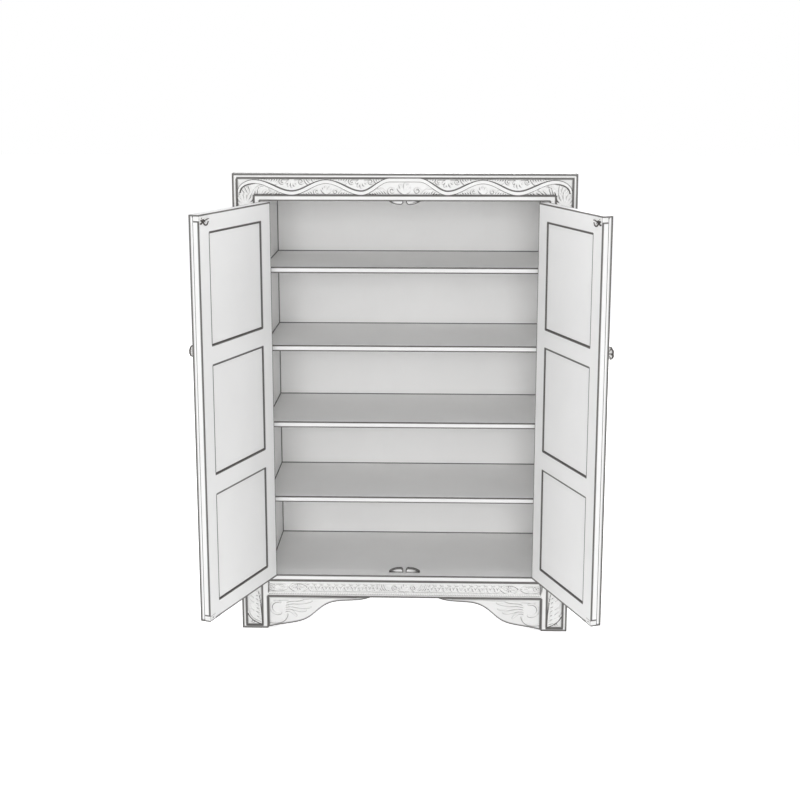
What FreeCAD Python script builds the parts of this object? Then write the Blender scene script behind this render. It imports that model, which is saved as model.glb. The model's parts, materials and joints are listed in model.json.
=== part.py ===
import FreeCAD, Part
import os
import re

# A carved accent cabinet: a framed case with four shelves behind two panelled doors.
# Millimetres. X runs to the right, Y from the front to the back and Z up from the floor.
# The origin is on the floor, in the middle of the space that the cabinet takes with its doors open.
# Case pieces are drawn with the front face at Y = 0 and moved back by front_y.
# Door pieces are drawn closed, from the hinge axis, and turned open by door_open.

driving = {
    # Case
    "case_width": 1000,
    "case_height": 1395,
    "case_depth": 455,
    "frame_width": 80,
    "frame_thickness": 36,
    "frieze_height": 79,
    "floor_height": 174,
    "floor_thickness": 18,
    "bottom_rail_height": 53,
    "lining_thickness": 18,
    "top_thickness": 19,
    "top_tongue_thickness": 12,
    "back_thickness": 10,
    "back_inset": 8,
    "back_rebate": 10,
    "rear_post_depth": 50,
    "rear_rail_thickness": 36,
    # Carved channels in the front frame
    "outer_fillet": 14,
    "inner_fillet": 18,
    "head_band": 17,
    "foot_fillet": 10,
    "channel_depth": 5,
    "strip_lip": 9,
    "strip_width": 27,
    "strip_end": 3,
    # Joints of the case
    "housing_depth": 6,
    "tenon_thickness": 12,
    "tenon_length": 32,
    "tenon_shoulder": 9,
    # Shelves
    "shelf_thickness": 18,
    "shelf_rise": 239,
    "shelf_pitch": 235,
    "shelf_setback": 40,
    # Framed sides
    "side_rail_thickness": 22,
    "side_top_rail": 79,
    "side_mid_rail": 70,
    "side_bottom_rail": 90,
    "side_groove_width": 8,
    "side_groove_depth": 9,
    "side_panel_recess": 5,
    # Foot brackets
    "bracket_length": 315,
    "bracket_thickness": 22,
    "bracket_setback": 3,
    "bracket_lift": 2,
    "bracket_nose": 2,
    # Doors
    "door_open": 110,
    "door_thickness": 30,
    "door_gap": 2,
    "hinge_gap": 1,
    "meeting_gap": 2,
    "hinge_stile": 61.5,
    "meeting_stile": 57.5,
    "door_top_rail": 52,
    "door_upper_rail": 57,
    "door_lower_rail": 60,
    "door_bottom_rail": 50,
    "door_groove_width": 10,
    "door_groove_depth": 9,
    "door_tenon_length": 22,
    "panel_float": 1,
    "panel_reveal": 1,
    "panel_inner_recess": 3,
    "panel_outer_recess": 7,
    # Butt hinges
    "axis_proud": 4,
    "leaf_length": 64,
    "leaf_width": 26,
    "leaf_thickness": 2.5,
    "leaf_inset": 70,
    "knuckle_radius": 3.5,
    "knuckle_play": 0.2,
    "pin_radius": 1.75,
    "pin_play": 0.05,
    "pin_head_radius": 3.2,
    "pin_head_height": 1.6,
    "screw_radius": 1.9,
    "screw_head_radius": 3.8,
    "screw_length": 20,
    "screw_pitch": 21,
    "screw_stagger": 4,
    # Knobs
    "knob_drop": 372,
    "knob_radius": 16,
    "knob_thickness": 11,
    "knob_projection": 22,
    "knob_neck_radius": 7,
    "knob_collar_radius": 11,
    "knob_collar_height": 3,
    "knob_dowel_radius": 4,
    "knob_dowel_length": 20,
    # Catches and the strikes that meet them
    "catch_length": 44,
    "catch_height": 13,
    "catch_depth": 15,
    "catch_gap": 8,
    "catch_play": 0.5,
    "catch_screw_radius": 1.5,
    "catch_screw_head_radius": 3,
    "catch_screw_head_height": 1.8,
    "catch_screw_seat": 6,
    "catch_screw_grip": 12,
    "strike_length": 30,
    "strike_height": 12,
    "strike_return": 16,
    "strike_thickness": 1.5,
    "strike_inset": 4,
}

derived = {
    "half_width": "case_width / 2",
    "opening_half": "half_width - frame_width",
    "head_height": "case_height - frieze_height",
    "floor_under": "floor_height - floor_thickness",
    "arch_height": "floor_under - bottom_rail_height",
    "lining_outside": "opening_half + lining_thickness",
    "back_front": "case_depth - back_inset - back_thickness",
    "rear_post_front": "case_depth - rear_post_depth",
    "side_inside": "half_width - side_rail_thickness",
    "side_groove_inside": "half_width - (side_rail_thickness + side_groove_width) / 2",
    "side_mid_height": "(arch_height + side_bottom_rail + head_height - side_top_rail) / 2",
    "door_bottom": "floor_height + door_gap",
    "door_top": "head_height - door_gap",
    "door_edge": "opening_half - meeting_gap / 2",
    "door_back": "axis_proud + door_thickness",
    "door_groove_front": "axis_proud + (door_thickness - door_groove_width) / 2",
    "door_panel_left": "hinge_gap + hinge_stile",
    "door_panel_right": "door_edge - meeting_stile",
    "door_panel_height": (
        "(door_top - door_bottom - door_top_rail - door_upper_rail"
        " - door_lower_rail - door_bottom_rail) / 3"
    ),
    "hinge_travel": "(door_top - door_bottom) / 2 - leaf_inset - leaf_length / 2",
    "hinge_middle": "(door_top + door_bottom) / 2",
    "catch_front": "door_thickness + strike_thickness + catch_play",
    "door_reach": (
        "axis_proud + door_edge * sin(door_open)"
        " + max(-axis_proud * cos(door_open); -door_back * cos(door_open))"
    ),
    "front_y": "(door_reach - case_depth) / 2",
}

shelf_count = 4
hinge_count = 3
knuckle_count = 5
sides = ("left", "right")

# Lower edge of a foot bracket, from the stile inwards: shares of its length and of its height.
bracket_edge_shares = (
    (0, 0),
    (0.21, 0.13),
    (0.385, 0.30),
    (0.50, 0.60),
    (0.60, 0.80),
    (0.78, 0.89),
    (1, 1),
)

# A catch seen from the front: the rounded inner end, the long back, and the cut-off tip.
catch_heel_shares = ((0, 0.5), (0.07, 0.87), (0.26, 1))
catch_back_shares = ((0.26, 1), (0.65, 0.79), (1, 0.14))
catch_tip_share = 0.94
catch_screw_shares = (0.25, 0.62)

document = FreeCAD.newDocument("AccentCabinet")
sheet = document.addObject("Spreadsheet::Sheet", "Sizes")
for row, (alias, value) in enumerate({**driving, **derived}.items(), start=1):
    sheet.set(f"A{row}", alias)
    sheet.set(f"B{row}", f"={value}" if isinstance(value, str) else str(value))
    sheet.setAlias(f"B{row}", alias)
document.recompute()

aliases = set(driving) | set(derived)
nodes = []


def size(alias):
    return float(sheet.get(alias))


def on_sheet(text):
    """Writes a sum of sizes as an expression that reads them from the sheet."""
    return re.sub(r"[a-z][a-z_]*", lambda word: f"Sizes.{word[0]}" if word[0] in aliases else word[0], text)


def bind(thing, **sums):
    """Ties properties to sums of sizes. A double underscore stands for a dot."""
    for name, text in sums.items():
        thing.setExpression(name.replace("__", "."), on_sheet(text))


def put_at(thing, corner, turn=None):
    """Places a thing at a corner given as three sums, turned by (axis, degrees)."""
    if turn:
        thing.Placement = FreeCAD.Placement(FreeCAD.Vector(), FreeCAD.Rotation(*turn))
    bind(thing, Placement__Base__x=corner[0], Placement__Base__y=corner[1], Placement__Base__z=corner[2])


def node(name, kind="PartDesign::Body"):
    """Starts a piece that is exported under its name."""
    piece = document.addObject(kind, name)
    piece.Label = name
    nodes.append(piece)
    return piece


def in_case(piece):
    put_at(piece, ("0", "front_y", "0"))
    return piece


def at_axis(piece, side):
    """Places a piece drawn from the hinge axis, without turning it."""
    put_at(piece, (("-" if side == "left" else "") + "opening_half", "front_y - axis_proud", "0"))
    return piece


def on_door(piece, side):
    """Places a piece drawn on the closed door and turns it open."""
    swing = FreeCAD.Vector(0, 0, -1 if side == "left" else 1)
    piece.Placement = FreeCAD.Placement(FreeCAD.Vector(), FreeCAD.Rotation(swing, size("door_open")))
    at_axis(piece, side)
    bind(piece, Placement__Rotation__Angle="door_open")
    return piece


def span(flip, low, high):
    """A stretch along X as its low end and its length, mirrored if flip is true."""
    return f"-({high})" if flip else low, f"({high}) - ({low})"


def block(body, kind, corner, extent):
    box = body.newObject(f"PartDesign::{kind}Box", f"{body.Name}_{kind}_block")
    put_at(box, corner)
    bind(box, Length=extent[0], Width=extent[1], Height=extent[2])
    return box


def add(body, x, y, z):
    """Adds a block. Each of x, y and z is a low end and a length."""
    return block(body, "Additive", (x[0], y[0], z[0]), (x[1], y[1], z[1]))


def cut(body, x, y, z):
    """Cuts a block away, given as for add."""
    return block(body, "Subtractive", (x[0], y[0], z[0]), (x[1], y[1], z[1]))


def rod(body, kind, start, turn, radius, length):
    cylinder = body.newObject(f"PartDesign::{kind}Cylinder", f"{body.Name}_{kind}_rod")
    put_at(cylinder, start, turn)
    bind(cylinder, Radius=radius, Height=length)
    return cylinder


along_x = FreeCAD.Vector(0, 1, 0)
about_x = FreeCAD.Vector(1, 0, 0)
downwards = (about_x, 180)


# Screws: a countersunk head and a shank, in holes of their own size


def screw(name, start, turn, radius, head_radius, head_height, length):
    """One screw whose head starts at start and whose shank runs along the turned Z axis."""
    head = document.addObject("Part::Cone", f"{name}_head")
    bind(head, Radius1=head_radius, Radius2=radius, Height=head_height)
    shank = document.addObject("Part::Cylinder", f"{name}_shank")
    bind(shank, Radius=radius, Height=length)
    whole = document.addObject("Part::Fuse", name)
    whole.Base = head
    whole.Tool = shank
    put_at(whole, start, turn)
    return whole


def screw_hole(body, start, turn, radius, length):
    rod(body, "Subtractive", start, turn, radius, length)


def countersink(body, start, turn):
    cone = body.newObject("PartDesign::SubtractiveCone", f"{body.Name}_countersink")
    put_at(cone, start, turn)
    bind(cone, Radius1="screw_head_radius", Radius2="screw_radius", Height="leaf_thickness")


def hinge_centres():
    """Height of each hinge's middle, from the lowest up."""
    middle = (hinge_count - 1) / 2
    return [f"hinge_middle + ({(i - middle) / middle}) * hinge_travel" for i in range(hinge_count)]


def catch_screws():
    """Where each catch screw stands: along X, and back from the front face."""
    for left in (True, False):
        for share in catch_screw_shares:
            run = f"catch_gap / 2 + {share} * catch_length"
            yield f"-({run})" if left else run, "catch_front + catch_depth / 2"


def leaf_screws(centre):
    """The three screws of one leaf: height and distance back from the hinge axis."""
    row = "(axis_proud + leaf_width) / 2"
    for step in (-1, 0, 1):
        yield f"{centre} + ({step}) * screw_pitch", f"{row} + ({1 - 2 * abs(step)}) * screw_stagger / 2"


# Front frame: stiles, frieze and rail, with a carved channel sunk in their faces

for side in sides:
    left = side == "left"
    stile = in_case(node(f"{side}_front_stile"))
    whole_width = span(left, "opening_half", "half_width")
    tenon_width = span(left, "opening_half + tenon_shoulder", "half_width - tenon_shoulder")
    tenon_depth = ("(frame_thickness - tenon_thickness) / 2", "tenon_thickness")
    add(stile, whole_width, ("0", "frame_thickness"), ("0", "head_height"))
    add(stile, tenon_width, tenon_depth, ("0", "head_height + tenon_length"))
    channel = span(left, "opening_half + inner_fillet", "half_width - outer_fillet")
    cut(stile, channel, ("0", "channel_depth"), ("foot_fillet", "head_height - foot_fillet"))
    groove = span(left, "side_groove_inside", "side_groove_inside + side_groove_width")
    groove_depth = ("frame_thickness - side_groove_depth", "side_groove_depth")
    cut(stile, groove, groove_depth, ("arch_height", "head_height - arch_height"))
    mortise = span(left, "opening_half", "opening_half + tenon_length")
    mortise_height = ("arch_height + tenon_shoulder", "bottom_rail_height - 2 * tenon_shoulder")
    cut(stile, mortise, tenon_depth, mortise_height)
    leaf_bed = span(left, "opening_half", "opening_half + leaf_thickness")
    inwards = (along_x, -90 if left else 90)
    edge = ("-" if left else "") + "opening_half"
    for centre in hinge_centres():
        bed_height = (f"{centre} - leaf_length / 2", "leaf_length")
        cut(stile, leaf_bed, ("0", "leaf_width - axis_proud"), bed_height)
        for height, back in leaf_screws(centre):
            start = (edge, f"{back} - axis_proud", height)
            screw_hole(stile, start, inwards, "screw_radius", "screw_length")

frieze = in_case(node("frieze_board"))
frieze_width = ("-half_width", "case_width")
add(frieze, frieze_width, ("0", "frame_thickness"), ("head_height", "frieze_height"))
field_width = ("-(half_width - outer_fillet)", "case_width - 2 * outer_fillet")
field_height = ("head_height + head_band", "frieze_height - head_band - outer_fillet")
cut(frieze, field_width, ("0", "channel_depth"), field_height)
top_tongue_run = ("frame_thickness - housing_depth", "housing_depth")
top_tongue_rise = ("head_height", "top_tongue_thickness")
cut(frieze, frieze_width, top_tongue_run, top_tongue_rise)
for left in (True, False):
    channel = span(left, "opening_half + inner_fillet", "half_width - outer_fillet")
    cut(frieze, channel, ("0", "channel_depth"), ("head_height", "head_band"))
    mortise = span(left, "opening_half + tenon_shoulder", "half_width - tenon_shoulder")
    cut(frieze, mortise, tenon_depth, ("head_height", "tenon_length"))

front_rail = in_case(node("bottom_front_rail"))
rail_height = ("arch_height", "bottom_rail_height")
opening_width = ("-opening_half", "2 * opening_half")
add(front_rail, opening_width, ("0", "frame_thickness"), rail_height)
tenon_span = ("-(opening_half + tenon_length)", "2 * (opening_half + tenon_length)")
add(front_rail, tenon_span, tenon_depth, mortise_height)
strip_span = ("-(opening_half - strip_end)", "2 * (opening_half - strip_end)")
strip_height = ("floor_under - strip_lip - strip_width", "strip_width")
cut(front_rail, strip_span, ("0", "channel_depth"), strip_height)


# Foot brackets: an ogee edge that sweeps from the foot up to the rail


def foot_bracket(side):
    sign = -1 if side == "left" else 1
    stile_edge = size("opening_half")
    length = size("bracket_length")
    low = size("bracket_lift")
    high = size("arch_height")
    rise = high - size("bracket_nose") - low
    front = size("bracket_setback")

    def point(run, height):
        return FreeCAD.Vector(sign * (stile_edge - run), front, height)

    ogee = Part.BSplineCurve()
    ogee.interpolate([point(run * length, low + up * rise) for run, up in bracket_edge_shares])
    corners = [point(length, low + rise), point(length, high), point(0, high), point(0, low)]
    edges = [ogee.toShape()]
    edges += [Part.LineSegment(a, b).toShape() for a, b in zip(corners, corners[1:])]
    face = Part.Face(Part.Wire(edges))
    return face.extrude(FreeCAD.Vector(0, size("bracket_thickness"), 0))


for side in sides:
    bracket = node(f"{side}_foot_bracket", "Part::Feature")
    bracket.Shape = foot_bracket(side)
    in_case(bracket)


# Boards of the case: floor, top, back, linings and shelves

floor_board = in_case(node("floor_board"))
floor_level = ("floor_under", "floor_thickness")
housed_width = ("-(opening_half + housing_depth)", "2 * (opening_half + housing_depth)")
behind_frame = ("frame_thickness", "back_front - frame_thickness")
add(floor_board, opening_width, ("0", "back_front"), floor_level)
add(floor_board, housed_width, behind_frame, floor_level)
for across, back in catch_screws():
    start = (across, back, "floor_height")
    screw_hole(floor_board, start, downwards, "catch_screw_radius", "catch_screw_grip")

top_board = in_case(node("top_board"))
top_run = ("frame_thickness", "case_depth - frame_thickness")
add(top_board, frieze_width, top_run, ("head_height", "top_thickness"))
add(top_board, frieze_width, top_tongue_run, top_tongue_rise)
for across, back in catch_screws():
    start = (across, back, "head_height")
    screw_hole(top_board, start, None, "catch_screw_radius", "catch_screw_grip")

back_panel = in_case(node("back_panel"))
back_span = ("-(opening_half + back_rebate)", "2 * (opening_half + back_rebate)")
add(back_panel, back_span, ("back_front", "back_thickness"), ("floor_under", "head_height - floor_under"))

rear_rail = in_case(node("rear_bottom_rail"))
rear_rail_run = ("case_depth - rear_rail_thickness", "rear_rail_thickness")
rear_tenon_run = ("case_depth - (rear_rail_thickness + tenon_thickness) / 2", "tenon_thickness")
add(rear_rail, opening_width, rear_rail_run, rail_height)
add(rear_rail, housed_width, rear_tenon_run, mortise_height)

shelf_tops = [f"floor_height + shelf_rise + {index} * shelf_pitch" for index in range(shelf_count)]
shelf_run = ("shelf_setback", "back_front - shelf_setback")
for index, shelf_top in enumerate(shelf_tops, start=1):
    shelf = in_case(node(f"shelf_{index}"))
    add(shelf, housed_width, shelf_run, (f"{shelf_top} - shelf_thickness", "shelf_thickness"))

for side in sides:
    left = side == "left"
    lining = in_case(node(f"{side}_lining_board"))
    thickness = span(left, "opening_half", "lining_outside")
    housing = span(left, "opening_half", "opening_half + housing_depth")
    lining_run = ("frame_thickness", "case_depth - frame_thickness")
    add(lining, thickness, lining_run, ("arch_height", "head_height - arch_height"))
    cut(lining, housing, behind_frame, floor_level)
    cut(lining, housing, rear_tenon_run, mortise_height)
    for shelf_top in shelf_tops:
        cut(lining, housing, shelf_run, (f"{shelf_top} - shelf_thickness", "shelf_thickness"))
    rebate = span(left, "opening_half", "opening_half + back_rebate")
    rebate_run = ("back_front", "case_depth - back_front")
    cut(lining, rebate, rebate_run, ("floor_under", "head_height - floor_under"))


# Framed sides: a rear post, three rails and two panels that float in grooves

side_run = ("frame_thickness", "rear_post_front - frame_thickness")
tongue_run = (
    "frame_thickness - side_groove_depth",
    "rear_post_front - frame_thickness + 2 * side_groove_depth",
)
side_rails = (
    ("bottom", "arch_height", "side_bottom_rail"),
    ("mid", "side_mid_height - side_mid_rail / 2", "side_mid_rail"),
    ("top", "head_height - side_top_rail", "side_top_rail"),
)

for side in sides:
    left = side == "left"
    post_width = span(left, "lining_outside", "half_width")
    rail_width = span(left, "side_inside", "half_width")
    groove = span(left, "side_groove_inside", "side_groove_inside + side_groove_width")
    field = span(left, "side_groove_inside", "half_width - side_panel_recess")

    post = in_case(node(f"{side}_rear_post"))
    add(post, post_width, ("rear_post_front", "rear_post_depth"), ("0", "head_height"))
    groove_run = ("rear_post_front", "side_groove_depth")
    cut(post, groove, groove_run, ("arch_height", "head_height - arch_height"))

    for place, bottom, height in side_rails:
        rail = in_case(node(f"{side}_side_{place}_rail"))
        add(rail, rail_width, side_run, (bottom, height))
        add(rail, groove, tongue_run, (bottom, height))
        if place != "top":
            cut(rail, groove, tongue_run, (f"{bottom} + {height} - side_groove_depth", "side_groove_depth"))
        if place != "bottom":
            cut(rail, groove, tongue_run, (bottom, "side_groove_depth"))

    for place, below, above in (("lower", 0, 1), ("upper", 1, 2)):
        low = f"({side_rails[below][1]} + {side_rails[below][2]})"
        high = f"({side_rails[above][1]})"
        panel = in_case(node(f"{side}_side_{place}_panel"))
        field_run = (
            "frame_thickness + panel_reveal",
            "rear_post_front - frame_thickness - 2 * panel_reveal",
        )
        field_rise = (f"{low} + panel_reveal", f"{high} - {low} - 2 * panel_reveal")
        float_run = (
            "frame_thickness - side_groove_depth + panel_float",
            "rear_post_front - frame_thickness + 2 * (side_groove_depth - panel_float)",
        )
        float_rise = (
            f"{low} - side_groove_depth + panel_float",
            f"{high} - {low} + 2 * (side_groove_depth - panel_float)",
        )
        add(panel, field, field_run, field_rise)
        add(panel, groove, float_run, float_rise)


# Doors: a hinge stile, a meeting stile, four rails and three panels each

door_rails = [("bottom", "door_bottom", "door_bottom_rail")]
for place, height in (("lower", "door_lower_rail"), ("upper", "door_upper_rail"), ("top", "door_top_rail")):
    below = door_rails[-1]
    door_rails.append((place, f"{below[1]} + {below[2]} + door_panel_height", height))

door_height = ("door_bottom", "door_top - door_bottom")
door_run = ("axis_proud", "door_thickness")
door_groove_run = ("door_groove_front", "door_groove_width")
grooved_height = (
    "door_bottom + door_bottom_rail - door_groove_depth",
    "door_top - door_bottom - door_top_rail - door_bottom_rail + 2 * door_groove_depth",
)


def door_stile(side, name, low, high, panel_edge_is_high):
    """A door's upright with its groove and the mortises for the four rails."""
    flip = side == "right"
    stile = on_door(node(f"{side}_door_{name}"), side)
    add(stile, span(flip, low, high), door_run, door_height)
    if panel_edge_is_high:
        groove = span(flip, f"{high} - door_groove_depth", high)
        mortise = span(flip, f"{high} - door_tenon_length", high)
    else:
        groove = span(flip, low, f"{low} + door_groove_depth")
        mortise = span(flip, low, f"{low} + door_tenon_length")
    cut(stile, groove, door_groove_run, grooved_height)
    for _, bottom, height in door_rails:
        tenon = (f"{bottom} + door_groove_depth", f"{height} - 2 * door_groove_depth")
        cut(stile, mortise, door_groove_run, tenon)
    return stile


for side in sides:
    flip = side == "right"
    sign = "-" if flip else ""
    outwards = (along_x, -90 if flip else 90)

    hinge_stile = door_stile(side, "hinge_stile", "hinge_gap", "door_panel_left", True)
    leaf_bed = span(flip, "hinge_gap", "hinge_gap + leaf_thickness")
    for centre in hinge_centres():
        bed_height = (f"{centre} - leaf_length / 2", "leaf_length")
        cut(hinge_stile, leaf_bed, ("axis_proud", "leaf_width - axis_proud"), bed_height)
        for height, back in leaf_screws(centre):
            start = (f"{sign}hinge_gap", back, height)
            screw_hole(hinge_stile, start, outwards, "screw_radius", "screw_length")

    meeting_stile = door_stile(side, "meeting_stile", "door_panel_right", "door_edge", False)
    knob_middle = f"{sign}(door_edge - meeting_stile / 2)"
    knob_height = "door_top - knob_drop"
    face = (knob_middle, "axis_proud", knob_height)
    rod(meeting_stile, "Subtractive", face, (about_x, -90), "knob_dowel_radius", "knob_dowel_length")
    strike_bed = span(flip, "door_edge - strike_thickness", "door_edge")
    strike_bed_run = ("door_back - strike_return", "strike_return")
    strike_levels = ("door_bottom + strike_inset", "door_top - strike_inset - strike_height")
    for level in strike_levels:
        cut(meeting_stile, strike_bed, strike_bed_run, (level, "strike_height"))

    rail_span = span(flip, "door_panel_left", "door_panel_right")
    tenon_span = span(flip, "door_panel_left - door_tenon_length", "door_panel_right + door_tenon_length")
    for place, bottom, height in door_rails:
        rail = on_door(node(f"{side}_door_{place}_rail"), side)
        add(rail, rail_span, door_run, (bottom, height))
        tenon = (f"{bottom} + door_groove_depth", f"{height} - 2 * door_groove_depth")
        add(rail, tenon_span, door_groove_run, tenon)
        if place != "top":
            top_groove = (f"{bottom} + {height} - door_groove_depth", "door_groove_depth")
            cut(rail, rail_span, door_groove_run, top_groove)
        if place != "bottom":
            cut(rail, rail_span, door_groove_run, (bottom, "door_groove_depth"))

    field_span = span(flip, "door_panel_left + panel_reveal", "door_panel_right - panel_reveal")
    float_span = span(
        flip,
        "door_panel_left - door_groove_depth + panel_float",
        "door_panel_right + door_groove_depth - panel_float",
    )
    field_run = (
        "axis_proud + panel_outer_recess",
        "door_thickness - panel_outer_recess - panel_inner_recess",
    )
    for place, (_, bottom, height) in zip(("bottom", "middle", "top"), door_rails):
        low = f"{bottom} + {height}"
        panel = on_door(node(f"{side}_door_{place}_panel"), side)
        add(panel, field_span, field_run, (f"{low} + panel_reveal", "door_panel_height - 2 * panel_reveal"))
        float_rise = (
            f"{low} - door_groove_depth + panel_float",
            "door_panel_height + 2 * (door_groove_depth - panel_float)",
        )
        add(panel, float_span, door_groove_run, float_rise)

    knob = on_door(node(f"{side}_door_knob"), side)
    rod(knob, "Additive", face, (about_x, -90), "knob_dowel_radius", "knob_dowel_length")
    rod(knob, "Additive", face, (about_x, 90), "knob_collar_radius", "knob_collar_height")
    rod(knob, "Additive", face, (about_x, 90), "knob_neck_radius", "knob_projection - knob_thickness / 2")
    head = knob.newObject("PartDesign::AdditiveEllipsoid", f"{side}_knob_head")
    head_centre = (knob_middle, "axis_proud - knob_projection + knob_thickness / 2", knob_height)
    put_at(head, head_centre, (about_x, 90))
    bind(head, Radius1="knob_thickness / 2", Radius2="knob_radius", Radius3="knob_radius")

    strikes = on_door(node(f"{side}_door_strikes", "Part::Compound"), side)
    plates = []
    for index, level in enumerate(strike_levels, start=1):
        plate = document.addObject("PartDesign::Body", f"{side}_strike_{index}")
        on_face = span(flip, "door_edge - strike_length", "door_edge")
        add(plate, on_face, ("door_back", "strike_thickness"), (level, "strike_height"))
        add(plate, strike_bed, strike_bed_run, (level, "strike_height"))
        plates.append(plate)
    strikes.Links = plates


# Butt hinges: leaves let into both edges, knuckles that take turns along a pin


def hinge_leaf(name, flip, low, centre, own_knuckles):
    """One leaf with its knuckles, drawn from the hinge axis. low is the plate's near face."""
    leaf = document.addObject("PartDesign::Body", name)
    bottom = f"{centre} - leaf_length / 2"
    plate = span(flip, low, f"{low} + leaf_thickness")
    add(leaf, plate, ("axis_proud", "leaf_width - axis_proud"), (bottom, "leaf_length"))
    for index in own_knuckles:
        start = f"{bottom} + {index} * leaf_length / {knuckle_count} + knuckle_play / 2"
        length = f"leaf_length / {knuckle_count} - knuckle_play"
        rod(leaf, "Additive", ("0", "0", start), None, "knuckle_radius", length)
        add(leaf, plate, ("0", "axis_proud"), (start, length))
    rod(leaf, "Subtractive", ("0", "0", bottom), None, "pin_radius + pin_play", "leaf_length")
    return leaf


frame_leaves = []
frame_screws = []
pins = []
screw_sizes = ("screw_radius", "screw_head_radius", "leaf_thickness", "screw_length")
frame_knuckles = range(0, knuckle_count, 2)
door_knuckles = range(1, knuckle_count, 2)
for side in sides:
    flip = side == "right"
    door_leaves = on_door(node(f"{side}_hinge_door_leaves", "Part::Compound"), side)
    door_screws = on_door(node(f"{side}_hinge_door_screws", "Part::Compound"), side)
    leaves = []
    screws = []
    into_door = (along_x, -90 if flip else 90)
    into_frame = (along_x, 90 if flip else -90)
    door_near = ("-" if flip else "") + "hinge_gap"
    frame_edge = ("" if flip else "-") + "opening_half"
    for index, centre in enumerate(hinge_centres(), start=1):
        name = f"{side}_hinge_{index}"
        frame_leaf = hinge_leaf(f"{name}_frame_leaf", flip, "-leaf_thickness", centre, frame_knuckles)
        door_leaf = hinge_leaf(f"{name}_door_leaf", flip, "hinge_gap", centre, door_knuckles)
        for number, (height, back) in enumerate(leaf_screws(centre), start=1):
            countersink(frame_leaf, ("0", back, height), into_frame)
            on_frame = (frame_edge, f"front_y - axis_proud + {back}", height)
            frame_screws.append(screw(f"{name}_frame_screw_{number}", on_frame, into_frame, *screw_sizes))
            on_stile = (door_near, back, height)
            countersink(door_leaf, on_stile, into_door)
            screws.append(screw(f"{name}_door_screw_{number}", on_stile, into_door, *screw_sizes))
        leaves.append(door_leaf)
        frame_leaves.append(at_axis(frame_leaf, side))

        pin = document.addObject("PartDesign::Body", f"{name}_pin")
        bottom = f"{centre} - leaf_length / 2"
        rod(pin, "Additive", ("0", "0", bottom), None, "pin_radius", "leaf_length")
        pin_top = ("0", "0", f"{bottom} + leaf_length")
        rod(pin, "Additive", pin_top, None, "pin_head_radius", "pin_head_height")
        pins.append(at_axis(pin, side))
    door_leaves.Links = leaves
    door_screws.Links = screws

node("hinge_frame_leaves", "Part::Compound").Links = frame_leaves
node("hinge_frame_screws", "Part::Compound").Links = frame_screws
node("hinge_pins", "Part::Compound").Links = pins


# Catches: half-drop blocks on the floor and under the head that hold the closed doors


def catch_block(side_sign, base, up):
    """A half-drop catch. base is the height of its flat face and up is 1 on the floor, -1 overhead."""
    length = size("catch_length")
    height = size("catch_height")
    depth = size("catch_depth")
    near = size("catch_gap") / 2
    front = size("catch_front")

    def point(run, rise):
        return FreeCAD.Vector(side_sign * (near + run * length), front, base + up * rise * height)

    heel = Part.Arc(*(point(*share) for share in catch_heel_shares))
    back = Part.Arc(*(point(*share) for share in catch_back_shares))
    tip = point(*catch_back_shares[-1])
    flat = [tip, point(catch_tip_share, 0), point(0, 0), point(*catch_heel_shares[0])]
    edges = [heel.toShape(), back.toShape()]
    edges += [Part.LineSegment(a, b).toShape() for a, b in zip(flat, flat[1:])]
    solid = Part.Face(Part.Wire(edges)).extrude(FreeCAD.Vector(0, depth, 0))
    radius = size("catch_screw_radius")
    head_radius = size("catch_screw_head_radius")
    head_height = size("catch_screw_head_height")
    seat = size("catch_screw_seat")
    rise = FreeCAD.Vector(0, 0, up)
    for share in catch_screw_shares:
        foot = FreeCAD.Vector(side_sign * (near + share * length), front + depth / 2, base)
        shank = Part.makeCylinder(radius, seat, foot, rise)
        well = Part.makeCylinder(head_radius, height, foot + rise * seat, rise)
        sink = Part.makeCone(radius, head_radius, head_height, foot + rise * (seat - head_height), rise)
        solid = solid.cut(shank).cut(sink).cut(well)
    return solid


catches = in_case(node("door_catches", "Part::Compound"))
blocks = []
for base, up in (("floor_height", 1), ("head_height", -1)):
    for side_sign in (-1, 1):
        catch = document.addObject("Part::Feature", f"catch_{len(blocks) + 1}")
        catch.Shape = catch_block(side_sign, size(base), up)
        blocks.append(catch)
catches.Links = blocks

fixings = in_case(node("catch_screws", "Part::Compound"))
catch_screw_sizes = ("catch_screw_radius", "catch_screw_head_radius", "catch_screw_head_height")
shank_length = "catch_screw_seat + catch_screw_grip"
screws = []
for across, back in catch_screws():
    number = len(screws) + 1
    low = (across, back, "floor_height + catch_screw_seat")
    high = (across, back, "head_height - catch_screw_seat")
    screws.append(screw(f"catch_screw_{number}", low, downwards, *catch_screw_sizes, shank_length))
    screws.append(screw(f"catch_screw_{number + 1}", high, None, *catch_screw_sizes, shank_length))
fixings.Links = screws

document.recompute()
failed = [each.Name for each in document.Objects if {"Invalid", "Error"} & set(each.State)]
failed += [piece.Name for piece in nodes if piece.Shape.isNull() or not piece.Shape.isValid()]
if failed:
    raise RuntimeError(f"These objects failed: {failed}")

os.makedirs("parts", exist_ok=True)
for piece in nodes:
    piece.Shape.exportStep(f"parts/{piece.Label}.step")
    print(piece.Label, len(piece.Shape.Solids), round(piece.Shape.Volume))
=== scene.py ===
import json
import math

import bmesh
import bpy
import numpy as np
from mathutils import Matrix, Vector
from mathutils.bvhtree import BVHTree

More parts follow.
